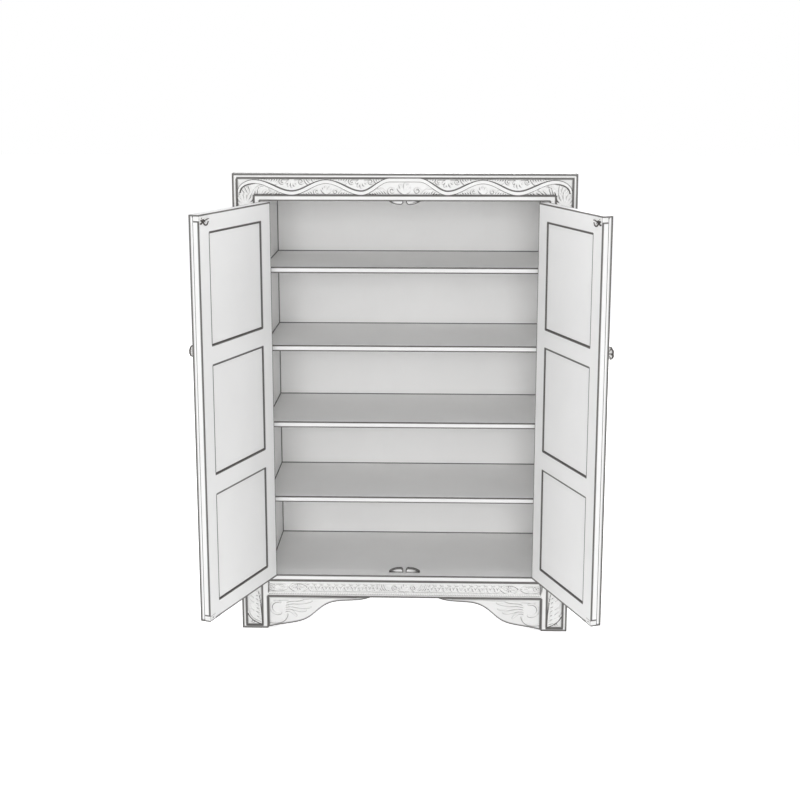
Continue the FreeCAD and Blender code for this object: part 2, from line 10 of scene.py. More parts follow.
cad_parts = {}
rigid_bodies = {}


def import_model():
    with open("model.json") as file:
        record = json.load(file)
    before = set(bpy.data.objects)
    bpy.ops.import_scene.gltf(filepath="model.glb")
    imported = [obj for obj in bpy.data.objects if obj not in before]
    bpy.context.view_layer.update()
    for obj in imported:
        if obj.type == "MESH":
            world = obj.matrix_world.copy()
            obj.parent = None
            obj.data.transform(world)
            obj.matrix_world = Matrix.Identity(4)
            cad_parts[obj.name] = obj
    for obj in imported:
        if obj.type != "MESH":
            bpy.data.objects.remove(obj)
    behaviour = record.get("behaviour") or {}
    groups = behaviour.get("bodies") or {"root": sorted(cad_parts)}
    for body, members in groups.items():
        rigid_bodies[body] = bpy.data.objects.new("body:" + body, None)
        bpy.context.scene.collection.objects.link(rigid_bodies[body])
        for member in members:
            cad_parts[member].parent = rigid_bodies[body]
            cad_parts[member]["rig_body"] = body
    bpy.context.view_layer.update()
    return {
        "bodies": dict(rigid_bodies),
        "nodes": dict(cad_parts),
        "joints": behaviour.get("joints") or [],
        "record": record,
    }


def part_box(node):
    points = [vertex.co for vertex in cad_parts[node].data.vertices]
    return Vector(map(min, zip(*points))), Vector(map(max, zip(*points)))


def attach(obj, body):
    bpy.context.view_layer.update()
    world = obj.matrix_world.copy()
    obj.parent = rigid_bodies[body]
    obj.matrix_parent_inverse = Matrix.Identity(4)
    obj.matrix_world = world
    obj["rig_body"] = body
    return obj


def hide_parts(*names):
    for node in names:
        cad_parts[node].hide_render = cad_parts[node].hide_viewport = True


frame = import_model()

# The view and the light
# The photograph looks at the open cabinet from a little above and a little right of its middle. A white
# surround and broad soft lamps on every side light it evenly, and only the carving and hollows are shaded.
scene = bpy.context.scene
scene.view_settings.view_transform = "Standard"
camera_place = (0.1279, -4.3277, 1.6956)
camera_pitch = math.radians(12.68)
camera_yaw = math.radians(1.87)
camera_lens = 66.65
sensor_width = 36
surround_tint = (0.97, 0.98, 1.0, 1)
surround_strength = 0.31
backdrop_white = (1, 1, 1, 1)
paper_grey = (0.9, 0.9, 0.9, 1)
paper_glow = 0.74
floor_reach = 25
square = ((-1, -1), (1, -1), (1, 1), (-1, 1))


def in_scene(name, data):
    """A new object made of some data and linked into the scene."""
    thing = bpy.data.objects.new(name, data)
    scene.collection.objects.link(thing)
    return thing


def new_node(tree, kind, settings=None, **inputs):
    """Adds a node with its settings, then sets or wires the inputs named, with spaces as underscores."""
    made = tree.nodes.new(kind)
    for name, value in (settings or {}).items():
        setattr(made, name, value)
    for name, value in inputs.items():
        socket = made.inputs[name.replace("_", " ")]
        if isinstance(value, bpy.types.NodeSocket):
            tree.links.new(value, socket)
        else:
            socket.default_value = value
    return made


def new_finish(name, metallic=0.0, specular=0.5):
    """A new material, its tree, and the principled surface in that tree."""
    finish = bpy.data.materials.new(name)
    finish.use_nodes = True
    surface = finish.node_tree.nodes["Principled BSDF"]
    surface.inputs["Metallic"].default_value = metallic
    surface.inputs["Specular IOR Level"].default_value = specular
    return finish, finish.node_tree, surface


def seen_directly(tree):
    """1 for a ray that comes from the camera or off metal or glass, and 0 for the rest."""
    ray = tree.nodes.new("ShaderNodeLightPath")
    share = ray.outputs["Is Camera Ray"]
    for kind in ("Is Glossy Ray", "Is Transmission Ray"):
        either = new_node(tree, "ShaderNodeMath", {"operation": "MAXIMUM"}, Value=share)
        tree.links.new(ray.outputs[kind], either.inputs[1])
        share = either.outputs[0]
    return share


def show(tree, first, second, output):
    """Sends the first shader to the output, or the second for the rays that see it directly."""
    mix = new_node(tree, "ShaderNodeMixShader", Fac=seen_directly(tree))
    tree.links.new(first.outputs[0], mix.inputs[1])
    tree.links.new(second.outputs[0], mix.inputs[2])
    tree.links.new(mix.outputs[0], tree.nodes[output].inputs["Surface"])


def soft_lamp(name, place, aim, width, watts):
    """A square lamp turned to face its aim."""
    lamp = bpy.data.lights.new(name, "AREA")
    lamp.size = width
    lamp.energy = watts
    lamp_object = in_scene(name, lamp)
    lamp_object.location = place
    lamp_object.rotation_euler = (Vector(aim) - Vector(place)).to_track_quat("-Z", "Y").to_euler()


camera_data = bpy.data.cameras.new("view")
camera_data.sensor_width = sensor_width
camera_data.lens = camera_lens
camera = in_scene("view", camera_data)
camera.location = camera_place
camera.rotation_euler = (math.pi / 2 - camera_pitch, 0, camera_yaw)
scene.camera = camera

world = bpy.data.worlds.new("studio")
scene.world = world
world.use_nodes = True
sky = world.node_tree
surround = sky.nodes["Background"]
surround.inputs["Color"].default_value = surround_tint
surround.inputs["Strength"].default_value = surround_strength
backdrop = new_node(sky, "ShaderNodeBackground", Color=backdrop_white, Strength=1.0)
show(sky, surround, backdrop, "World Output")

soft_lamp("front_lamp", (0.2, -10.4, 1.9), (0, 0, 0.75), 4.0, 288)
soft_lamp("key_lamp", (-0.6, -8.8, 3.9), (0, 0, 0.7), 3.6, 125)
soft_lamp("right_fill", (10.0, -3.6, 2.2), (0, 0, 0.7), 4.5, 216)
soft_lamp("left_fill", (-10.0, -3.6, 2.2), (0, 0, 0.7), 4.5, 216)
soft_lamp("right_side_lamp", (4.6, 1.6, 1.8), (0, 0, 0.7), 2.4, 58)
soft_lamp("left_side_lamp", (-4.6, 1.6, 1.8), (0, 0, 0.7), 2.4, 58)
soft_lamp("back_lamp", (0.4, 4.4, 2.6), (0, 0, 0.8), 2.4, 80)
soft_lamp("top_lamp", (0, 0.4, 6.2), (0, 0.2, 1.3), 2.6, 75)

floor_mesh = bpy.data.meshes.new("studio_floor")
floor_mesh.from_pydata([(floor_reach * a, floor_reach * b, 0) for a, b in square], [], [(0, 1, 2, 3)])
studio_floor = in_scene("studio_floor", floor_mesh)
floor_paper, sheet, paper = new_finish("floor_paper", specular=0.1)
paper.inputs["Base Color"].default_value = paper_grey
paper.inputs["Roughness"].default_value = 0.9
glow = new_node(sheet, "ShaderNodeEmission", Strength=paper_glow)
lit = sheet.nodes.new("ShaderNodeAddShader")
sheet.links.new(paper.outputs[0], lit.inputs[0])
sheet.links.new(glow.outputs[0], lit.inputs[1])
show(sheet, paper, lit, "Material Output")
floor_mesh.materials.append(floor_paper)


# The boards of the case
# Floor, top, back, linings and shelves are planed softwood boards, housed and glued, then brushed with
# satin white paint along the grain. Their arrises are scraped round, and the paint there is rubbed thin.
finish_slot = {part["node"]: part["material_slot"] for part in frame["record"]["subparts"]}
paint_white = (0.905, 0.9, 0.89)
paint_shade = (0.86, 0.855, 0.845)
# The inside and the doors take a lighter white than the front: their own paint, made lighter as painted
# light that lifts the shade inside the case and on the doors' inner faces.
inside_white_with_painted_light = (0.945, 0.942, 0.935)
inside_tone_with_painted_light = (0.91, 0.906, 0.9)
wax_and_painted_shade_grey = (0.09, 0.085, 0.08)
bared_wood = (0.085, 0.075, 0.068)
mm = 0.001
weld = 0.00002
flat_angle = math.radians(0.5)
arris_angle = math.radians(40)
shortest_arris = 0.012
board_ease = 0.0019
joint_inset = 0.0016
joint_margin = 0.0026
corner_wax_and_shade_line = 0.0034
corner_wax_and_shade_reach = 0.0013
rub_reach = 0.0052
worn_reach = 0.0078
score_half = 1.1 * mm
score_depth = 0.9 * mm
brush_stretch = 26.0
brush_bump = 0.00018
rubbed_wear = 0.95


def grain(tree, stretch, scale, detail):
    """Noise on the piece's own coordinates, stretched by three factors."""
    place = tree.nodes.new("ShaderNodeTexCoord")
    stretched = new_node(tree, "ShaderNodeMapping", Vector=place.outputs["Object"], Scale=stretch)
    noise = new_node(tree, "ShaderNodeTexNoise", Vector=stretched.outputs[0], Scale=scale, Detail=detail)
    return noise.outputs["Fac"]


def levels(tree, value, low, high, to_low=0.0, to_high=1.0):
    """Spreads a value between two levels over a new range."""
    spread = new_node(tree, "ShaderNodeMapRange", Value=value)
    spread.inputs["From Min"].default_value = low
    spread.inputs["From Max"].default_value = high
    spread.inputs["To Min"].default_value = to_low
    spread.inputs["To Max"].default_value = to_high
    return spread.outputs[0]


def mixed(tree, share, first, second):
    """A colour between two, each a colour or a socket."""
    mix = tree.nodes.new("ShaderNodeMix")
    mix.data_type = "RGBA"
    tree.links.new(share, mix.inputs["Factor"])
    for socket, colour in ((mix.inputs[6], first), (mix.inputs[7], second)):
        if isinstance(colour, bpy.types.NodeSocket):
            tree.links.new(colour, socket)
        else:
            socket.default_value = (*colour, 1)
    return mix.outputs[2]


def raised(tree, surface, height, distance):
    """Gives a surface the fine relief of a pattern, over a distance from its lowest to its highest."""
    bump = new_node(tree, "ShaderNodeBump", Height=height, Distance=distance)
    tree.links.new(bump.outputs[0], surface.inputs["Normal"])


def brushed_paint(name, along, wear, white=paint_white, shade=paint_shade):
    """White paint brushed along one axis, with grey wax and painted shade in the hollows and the edges bared
    by wear.
    """
    finish, tree, surface = new_finish(name, specular=0.4)
    stretch = [1.0 if axis == along else brush_stretch for axis in "xyz"]
    bristle = grain(tree, stretch, 14, 4)
    cloud = grain(tree, (1, 1, 1), 5, 3)
    paint = mixed(tree, levels(tree, cloud, 0.3, 0.75), white, shade)
    paint = mixed(tree, levels(tree, bristle, 0.52, 0.8, 0, 0.35), paint, shade)
    # The hollow attribute brings in the dark grey: wax and painted shade in hollows and corners, and wear
    # beside the rubbed arrises.
    hollow = new_node(tree, "ShaderNodeAttribute", {"attribute_name": "hollow"})
    wax_and_painted_shade = levels(tree, hollow.outputs["Fac"], 0.08, 0.45, 0.0, 0.95)
    paint = mixed(tree, wax_and_painted_shade, paint, wax_and_painted_shade_grey)
    if wear:
        patch = grain(tree, (1, 1, 1), 16, 6)
        thin = levels(tree, patch, 0.36, 0.64, 0.6 * wear, wear)
        paint = mixed(tree, thin, paint, bared_wood)
    tree.links.new(paint, surface.inputs["Base Color"])
    tree.links.new(levels(tree, bristle, 0.3, 0.7, 0.42, 0.56), surface.inputs["Roughness"])
    raised(tree, surface, bristle, brush_bump)
    return finish


paint_along = {axis: brushed_paint(f"white_paint_along_{axis}", axis, 0) for axis in "xyz"}
rubbed_along = {axis: brushed_paint(f"rubbed_edge_along_{axis}", axis, rubbed_wear) for axis in "xyz"}
# Lighter paints, with painted light, for the inside, the doors and the catches.
inside_along_with_painted_light = {
    axis: brushed_paint(f"inside_paint_with_painted_light_along_{axis}", axis, 0, inside_white_with_painted_light, inside_tone_with_painted_light) for axis in "xz"
}


def welded(node):
    """A bmesh copy of a bare part with its loose triangles joined into whole faces."""
    shape = bmesh.new()
    shape.from_mesh(frame["nodes"][node].data)
    bmesh.ops.remove_doubles(shape, verts=shape.verts, dist=weld)
    bmesh.ops.dissolve_limit(shape, angle_limit=flat_angle, verts=shape.verts, edges=shape.edges)
    return shape


def body_of(node):
    """The moving body, or the root, that a node belongs to."""
    return frame["nodes"][node]["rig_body"]


def opened(body):
    """How a body stands in the open cabinet, from the place it has when the doors are shut."""
    for joint in frame["joints"]:
        if joint["child"] == body:
            pivot = Matrix.Translation(joint["pos_m"])
            swing = -math.radians(joint["range_deg"][1]) * joint["axis"][2]
            return pivot @ Matrix.Rotation(swing, 4, "Z") @ pivot.inverted()
    return Matrix.Identity(4)


shut = {body: opened(body).inverted() for body in frame["bodies"]}
extents = {}
solids = {}
for node, thing in frame["nodes"].items():
    corners = np.array([shut[body_of(node)] @ vertex.co for vertex in thing.data.vertices])
    extents[node] = (corners.min(0), corners.max(0))
    faces = [tuple(face.vertices) for face in thing.data.polygons]
    solids[node] = BVHTree.FromPolygons(corners.tolist(), faces)


def neighbours(node):
    """The boards of the same body that touch this one, each with its extents and its solid."""
    low, high = extents[node]
    for other, (other_low, other_high) in extents.items():
        touching = np.all(other_low < high + weld) and np.all(other_high > low - weld)
        board = finish_slot[other] not in ("aged_iron", "carved_knob")
        if other != node and board and body_of(other) == body_of(node) and touching:
            yield other, other_low, other_high, solids[other]


def inside_any(places, around, spare=0.0):
    """Which of the places lie in one of the solids, or within a spare distance of it."""
    places = np.array(places).reshape(-1, 3)
    found = np.zeros(len(places), bool)
    for low, high, solid in around:
        near = np.all((places > low - spare) & (places < high + spare), axis=1) & ~found
        for index in np.flatnonzero(near):
            place = Vector(places[index])
            surface, facing, face, away = solid.find_nearest(place)
            found[index] = away < spare or (place - surface).dot(facing) < 0
    return found


def met_flush(edges, around):
    """For each arris, whether another part lies against one of its faces and comes flush with the other."""
    probes = []
    for edge in edges:
        middle = (edge.verts[0].co + edge.verts[1].co) / 2
        across = (edge.link_faces[0].normal - edge.link_faces[1].normal) * joint_inset
        probes += [middle + across, middle - across]
    return inside_any(probes, around).reshape(-1, 2).any(axis=1)


def cut_along(shape, node, levels_by_axis):
    """Cuts a part straight through at levels on each axis, but leaves no narrow strip by its ends."""
    low, high = extents[node]
    for axis, levels_here in enumerate(levels_by_axis):
        across = Vector([1.0 if a == axis else 0.0 for a in range(3)])
        for level in sorted({round(float(level), 5) for level in levels_here}):
            if low[axis] + joint_margin < level < high[axis] - joint_margin:
                parts = shape.verts[:] + shape.edges[:] + shape.faces[:]
                place = across * level
                bmesh.ops.bisect_plane(shape, geom=parts, dist=weld, plane_co=place, plane_no=across)


def lies_on(edge, place):
    """Whether both ends of an arris have the coordinates that a place gives, where None stands for any."""
    given = [(axis, level) for axis, level in enumerate(place) if level is not None]
    return all(abs(end.co[axis] - level) < weld for end in edge.verts for axis, level in given)


def rub_of(edge, worn):
    """How far from an arris the paint is rubbed, which is farther where it lies on a worn place."""
    return worn_reach if any(lies_on(edge, place) for place in worn) else rub_reach


def nearness(places, segments):
    """How near each place lies to one of the segments: 1 on it, falling to 0 at the segment's reach."""
    near = np.zeros(len(places))
    for (start, end), reach in segments:
        along = end - start
        share = np.clip((places - start) @ along / (along @ along), 0, 1)
        away = np.linalg.norm(places - start - share[:, None] * along, axis=1)
        near = np.maximum(near, 1 - away / reach)
    return near


def rides(piece, body, node=None):
    """Says which body a piece rides on, and the bare part that it stands for, if there is one."""
    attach(piece, body)
    if node:
        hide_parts(node)


def eased_part(
    node,
    along,
    paints=paint_along,
    rubbed=None,
    ease=board_ease,
    shortest=shortest_arris,
    proud_of=(),
    scored=None,
    plain=(),
    worn=(),
):
    """The part as it leaves the bench: arrises eased and rubbed, sharp at flush joints, grey wax and painted
    shade in its corners.

    The paint is brushed along one axis. Arrises that lie on a plain place stay sharp, and those on a worn
    place are rubbed wider."""
    shape = welded(node)
    shape.transform(shut[body_of(node)])
    shape.normal_update()
    around = [part for other, *part in neighbours(node) if other not in proud_of]
    is_board = shortest == shortest_arris
    cuts = [set(), set(), set()]
    weight = shape.edges.layers.float.new("bevel_weight_edge")
    for edge in shape.edges:
        if len(edge.link_faces) == 2 and edge.is_convex and edge.calc_length() > shortest:
            if edge.calc_face_angle() > arris_angle and not any(lies_on(edge, place) for place in plain):
                edge[weight] = 1.0
                one, two = edge.verts[0].co, edge.verts[1].co
                reach = rub_of(edge, worn)
                for axis in range(3):
                    if is_board and abs(one[axis] - two[axis]) < weld:
                        cuts[axis] |= {one[axis] - reach, one[axis] + reach}
    for axis in range(3):
        for low, high, solid in around:
            for corner in (low, high):
                cuts[axis] |= {corner[axis] - corner_wax_and_shade_line, corner[axis], corner[axis] + corner_wax_and_shade_line}
    if scored:
        cuts[1] |= {scored - score_half, scored, scored + score_half}
    cut_along(shape, node, cuts)
    arrises = [edge for edge in shape.edges if edge[weight]]
    for edge, flush in zip(arrises, met_flush(arrises, around)):
        edge[weight] = 0.0 if flush else 1.0
    segments = []
    for edge in arrises:
        if edge[weight] and is_board:
            segments.append((np.array((edge.verts[0].co, edge.verts[1].co)), rub_of(edge, worn)))
    shape.verts.index_update()
    rubbed_here = nearness(np.array([vertex.co for vertex in shape.verts]), segments)
    hollow = shape.loops.layers.float.new("hollow")
    loops = [loop for face in shape.faces for loop in face.loops]
    # Faces with another part close in front of them take the dark grey as painted shade along the corner,
    # like wax left there. The rest of the grey here is wear beside the rubbed arrises.
    probes = [loop.vert.co + loop.face.normal * joint_inset for loop in loops]
    in_front = inside_any(probes, around, corner_wax_and_shade_reach)
    for loop, covered in zip(loops, in_front):
        loop[hollow] = max(float(covered), rubbed_here[loop.vert.index])
    # The scored line is cut into the free edge, and its cut takes the dark grey as painted shade.
    if scored:
        free_edge = min(extents[node][0][0], extents[node][1][0], key=abs)
        for vertex in shape.verts:
            if abs(vertex.co.y - scored) < weld and abs(vertex.co.x - free_edge) < weld:
                vertex.co.x -= math.copysign(score_depth, -free_edge)
                for loop in vertex.link_loops:
                    loop[hollow] = 1.0
    shape.transform(shut[body_of(node)].inverted())
    mesh = bpy.data.meshes.new(f"{node}_painted")
    shape.to_mesh(mesh)
    shape.free()
    mesh.materials.append(paints[along])
    mesh.materials.append(rubbed or rubbed_along[along])
    part = in_scene(f"{node}_painted", mesh)
    bevel = part.modifiers.new("eased", "BEVEL")
    bevel.width = ease
    bevel.segments = 2
    bevel.limit_method = "WEIGHT"
    bevel.material = 1
    rides(part, body_of(node), node)


eased_part("top_board", "x")
for node in ("shelf_1", "shelf_2", "shelf_3", "shelf_4"):
    eased_part(node, "x", inside_along_with_painted_light)
eased_part("floor_board", "x", inside_along_with_painted_light, proud_of=("bottom_front_rail",))
for node in ("back_panel", "left_lining_board", "right_lining_board"):
    eased_part(node, "z", inside_along_with_painted_light)


# The framed sides
# Each side is a rear post and three rails of softwood, tenoned and glued together round two thin panels. The
# panels float in grooves, so that they can swell and shrink, and the whole is painted white.
for node in ("left_rear_post", "right_rear_post"):
    eased_part(node, "z")
eased_part("rear_bottom_rail", "x")
for side in ("left", "right"):
    for place in ("bottom", "mid", "top"):
        eased_part(f"{side}_side_{place}_rail", "y")
    for place in ("lower", "upper"):
        eased_part(f"{side}_side_{place}_panel", "z")


# The front frame
# Two stiles run down to the feet, with the frieze across their heads and the rail between them. Each has a
# shallow channel sunk in its face, where the carving stands: lobed leaves, scrolls and beads cut by hand.
case_low, case_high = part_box("frieze_board")
outer_arrises = (
    (case_low.x, None, None),
    (case_high.x, None, None),
    (None, None, 0.0),
    (None, None, case_high.z),
)
for node in ("left_front_stile", "right_front_stile"):
    eased_part(node, "z", worn=outer_arrises)
eased_part("frieze_board", "x", worn=outer_arrises)

case_front = case_low.y
half_width = case_high.x
head_height = case_low.z
opening_half = -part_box("left_front_stile")[1].x
channel_depth = 5 * mm
outer_fillet = 14 * mm
inner_fillet = 18 * mm
head_band = 17 * mm
foot_fillet = 10 * mm
ground_lift = 0.6 * mm
carving_root = 0.2 * mm
hollow_reach = 2.4 * mm
hollow_full = 1.0 * mm
corner_reach = 1.8 * mm
sunk_share = 0.42
ground_share = 0.04
ground_height = 0.5 * mm
wall_share = 0.95
tool_mark = 0.05 * mm
stray_length = 0.06
stray_aim = 0.05
frond_curl = 0.5
bow_steps = 90
carving_sharp = math.radians(70)


def bow(pegs, count):
    """Points along a smooth bow drawn over its pegs."""
    share = np.linspace(0, 1, count)[:, None]
    line = [np.asarray(peg, float)[None, :] + 0 * share for peg in pegs]
    while len(line) > 1:
        line = [(1 - share) * a + share * b for a, b in zip(line, line[1:])]
    return line[0]


def compass(angle):
    """A step of 1 in the direction of an angle."""
    return np.array((math.cos(angle), math.sin(angle)))


def padded(heights, axis, count):
    """Heights with the rows at both ends of one axis repeated a number of times."""
    return np.pad(heights, [(count, count) if a == axis else (0, 0) for a in (0, 1)], mode="edge")


class Carving:
    """A field of relief: places across and up it, and how high the wood is left standing, in metres."""

    def __init__(self, across, low, high, rows, seed):
        """A flat field over places across it, between a low and a high edge at each of them."""
        share = np.linspace(0, 1, rows)[None, :]
        self.across = across
        self.x = across[:, None] + 0 * share
        self.z = low[:, None] * (1 - share) + high[:, None] * share
        self.height = np.zeros(self.x.shape)
        self.hand = np.random.default_rng(seed)
        self.wax_and_painted_shade = np.zeros(self.x.shape)
        self.freehand = 1.0
        self.open_beyond = math.inf
        self.wall_share = wall_share
        self.wall_reach = corner_reach
        self.walls = ("x_low", "x_high", "z_low", "z_high")

    def ridge(self, line, radius, height):
        """Leaves a rounded ridge standing along a line, with a radius and a height at each of its points."""
        radius = np.broadcast_to(radius, len(line))
        height = np.broadcast_to(height, len(line))
        for (x, z), r, h in zip(line, radius, height):
            first, last = np.searchsorted(self.across, (x - r, x + r))
            away = ((self.x[first:last] - x) ** 2 + (self.z[first:last] - z) ** 2) / r**2
            dome = h * np.sqrt(np.clip(1 - away, 0, 1))
            np.maximum(self.height[first:last], dome, out=self.height[first:last])

    def groove(self, line, radius):
        """Cuts down to the ground along a line, out to a radius, and darkens the cut with dark wax and
        painted shade.
        """
        run = np.concatenate(([0], np.cumsum(np.hypot(*np.diff(line, axis=0).T))))
        steps = np.arange(0, run[-1], 0.5 * cell)
        line = np.stack([np.interp(steps, run, line[:, axis]) for axis in (0, 1)], axis=1)
        radius = np.interp(steps, run, np.broadcast_to(radius, len(run)))
        for (x, z), r in zip(line, radius):
            first, last = np.searchsorted(self.across, (x - r - cell, x + r + cell))
            away = np.hypot(self.x[first:last] - x, self.z[first:last] - z)
            cut = np.clip((r - away) / cell + 0.5, 0, 1)
            np.maximum(self.wax_and_painted_shade[first:last], cut, out=self.wax_and_painted_shade[first:last])
            self.height[first:last] *= 1 - cut

    def lobe(self, root, aim, length, curl, width, height):
        """One lobe of a leaf. It leaves its root along aim, bends by curl and swells to a blunt tip."""
        length *= 1 + stray_length * self.freehand * self.hand.standard_normal()
        aim += stray_aim * self.freehand * self.hand.standard_normal()
        middle = root + 0.55 * length * compass(aim)
        tip = middle + 0.45 * length * compass(aim + curl)
        count = max(6, int(length / (0.35 * width)))
        share = np.linspace(0, 1, count)
        swell = 0.3 + 0.7 * np.sin(math.pi * 0.86 * share**1.2)
        self.ridge(bow((root, middle, tip), count), width * swell, height * (0.6 + 0.4 * swell))

    def frond(self, pegs, lobes, reach, width, height, sides=(1, -1), splay=0.8):
        """A leaf: a bowed rib with lobes along its sides, longest below the middle, and one at its tip."""
        line = bow(pegs, 50)
        share = np.linspace(0, 1, len(line))
        heading = np.unwrap(np.arctan2(*np.gradient(line, axis=0).T[::-1]))
        self.ridge(line, width * (0.75 - 0.45 * share), height * (1 - 0.3 * share))
        for turn in sides:
            for index in range(lobes):
                at = 0.04 + 0.86 * (index + (0.25 if turn < 0 else 0)) / lobes
                step = int(at * (len(line) - 1))
                length = reach * (0.55 + 0.45 * math.sin(math.pi * min(1, at + 0.25)))
                aim = heading[step] + turn * splay * (1 - 0.3 * at)
                self.lobe(line[step], aim, length, -turn * frond_curl, width * (1 - 0.3 * at), height * 0.9)
        self.lobe(line[-1], heading[-1], 0.8 * reach, 0, width * 0.8, height * 0.9)

    def volute(self, eye, radius, start, turns, width, height):
        """A scroll that winds in to a round eye. A negative number of turns winds clockwise."""
        share = np.linspace(0, 1, int(60 * abs(turns)) + 10)
        angle = start + turns * 2 * math.pi * share
        spread = radius * (1 - 0.68 * share)
        line = np.array(eye) + spread[:, None] * np.stack((np.cos(angle), np.sin(angle)), axis=1)
        self.ridge(line, width * (1 - 0.35 * share), height * (1 - 0.15 * share))
        self.bead(eye, 0.26 * radius, height)

    def bead(self, place, radius, height):
        """A round bead."""
        self.ridge([place], radius, height)

    def flower(self, place, petals, inner, outer, width, height):
        """A ring of petals round a bead."""
        for index in range(petals):
            aim = 2 * math.pi * index / petals
            self.lobe(np.array(place) + inner * compass(aim), aim, outer - inner, 0, width, height)
        self.bead(place, inner, height)

    def smoothed(self, reach):
        """The height averaged over a reach each way, along and then up the field."""
        mean = self.height.copy()
        steps = max(1, int(reach / (self.across[1] - self.across[0])))
        for axis in (0, 1):
            total = np.cumsum(padded(mean, axis, steps), axis=axis)
            count = 2 * steps
            high = np.take(total, range(count, total.shape[axis]), axis=axis)
            low = np.take(total, range(0, total.shape[axis] - count), axis=axis)
            mean = (high - low) / count
        return mean

    def hollow(self):
        """How far each place lies below what is round it, from 0 to 1: where grey wax and painted shade
        darken the paint, in the hollows, by the walls and in the cut grooves.
        """
        sunk = np.clip((self.smoothed(hollow_reach) - self.height) / hollow_full, 0, 1)
        ground = np.clip(1 - self.height / ground_height, 0, 1)
        from_walls = {
            "x_low": self.x - self.x[:1],
            "x_high": self.x[-1:] - self.x,
            "z_low": self.z - self.z[:, :1],
            "z_high": self.z[:, -1:] - self.z,
        }
        from_walls["z_low"] = np.where(np.abs(self.x) > self.open_beyond, 1, from_walls["z_low"])
        # Painted shade also darkens the paint near the walls of the field, as in a corner.
        near = np.min([from_walls[wall] for wall in self.walls], axis=0)
        border = self.wall_share * np.exp(-near / self.wall_reach)
        return np.clip(sunk_share * sunk + ground_share * ground + border + self.wax_and_painted_shade, 0, 1)

    def sanded(self):
        """Softens the tool marks: each height becomes a mean of itself and of those beside it."""
        for axis in (0, 1):
            along = np.moveaxis(padded(self.height, axis, 1), axis, 0)
            mean = 0.25 * along[:-2] + 0.5 * along[1:-1] + 0.25 * along[2:]
            self.height = np.moveaxis(mean, 0, axis)

    def piece(self, name, finish, ground, back_y, body, slot, place=None, node=None):
        """The carving as a closed slab that faces the front, from its ground to a flat back."""
        self.sanded()
        columns, rows = self.height.shape
        tooled = tool_mark * self.hand.standard_normal((columns, rows))
        face = np.stack((self.x, ground - self.height + tooled, self.z), axis=2).reshape(-1, 3)
        low_edge = np.stack((self.across, np.full(columns, back_y), self.z[:, 0]), axis=1)
        high_edge = np.stack((self.across, np.full(columns, back_y), self.z[:, -1]), axis=1)
        number = np.arange(columns * rows).reshape(columns, rows)
        low = columns * rows + np.arange(columns)
        high = low + columns
        quads = np.stack((number[:-1, :-1], number[1:, :-1], number[1:, 1:], number[:-1, 1:]), axis=-1)
        quads = [quads.reshape(-1, 4)]
        quads.append(np.stack((low[:-1], high[:-1], high[1:], low[1:]), axis=-1))
        quads.append(np.stack((low[:-1], low[1:], number[1:, 0], number[:-1, 0]), axis=-1))
        quads.append(np.stack((number[:-1, -1], number[1:, -1], high[1:], high[:-1]), axis=-1))
        ends = [[low[0], *number[0], high[0]], [high[-1], *number[-1, ::-1], low[-1]]]
        mesh = bpy.data.meshes.new(name)
        places = np.concatenate((face, low_edge, high_edge)).tolist()
        mesh.from_pydata(places, [], np.concatenate(quads).tolist() + [list(map(int, end)) for end in ends])
        mesh.polygons.foreach_set("use_smooth", np.ones(len(mesh.polygons), bool))
        mesh.set_sharp_from_angle(angle=carving_sharp)
        wax_and_painted_shade = mesh.attributes.new("hollow", "FLOAT", "POINT")
        wax_and_painted_shade.data.foreach_set("value", np.concatenate((self.hollow().ravel(), np.zeros(2 * columns))))
        if place is not None:
            mesh.transform(place)
            if place.determinant() < 0:
                mesh.flip_normals()
        mesh.materials.append(finish)
        rides(in_scene(name, mesh), body, node)


def field(x_low, x_high, z_low, z_high, cell, seed):
    """A rectangular field of carving cut to a grid of cells."""
    across = np.linspace(x_low, x_high, int((x_high - x_low) / cell) + 1)
    rows = int((z_high - z_low) / cell) + 1
    return Carving(across, np.full(len(across), z_low), np.full(len(across), z_high), rows, seed)


mirrored = Matrix.Scale(-1, 4, (1, 0, 0))
channel_ground = case_front + channel_depth - ground_lift
channel_back = case_front + channel_depth + carving_root
channel_in = opening_half + inner_fillet
channel_out = half_width - outer_fillet
frieze_low = head_height + head_band
frieze_high = case_high.z - outer_fillet
leaf_height = 4.0 * mm
leaf_width = 3.4 * mm
cell = 1.0 * mm


def at(x, z):
    """A place on the carving, from millimetres."""
    return np.array((x, z)) * mm


# The frieze
# It is carved by hand in the wood of the board. A flat ribbon runs along it in waves and turns down at both
# ends. Leaf scrolls fill the bays under its crests, and smaller ones hang in the bays over its troughs.
crest_places = (42, 227, 436)
trough_places = (125, 327)
ribbon_width = 9.2 * mm
ribbon_stand = 4.9 * mm
ribbon_round = 1.2 * mm
ribbon_thin_line = 0.7 * mm
ribbon_bold_line = 2.5 * mm
ribbon_taper = 0.5
band_edge_share = 0.485
crest_drop = 5 * mm
wave_steps = 28
turn_steps = 18
lean = 34
leaf_pitch = 7.4
bay_fan = ((90, 23), (66, 22), (114, 22), (43, 18), (137, 18))
palmette = ((90, 40), (68, 38), (112, 38), (46, 32), (134, 32), (22, 24), (158, 24), (0, 18), (180, 18))


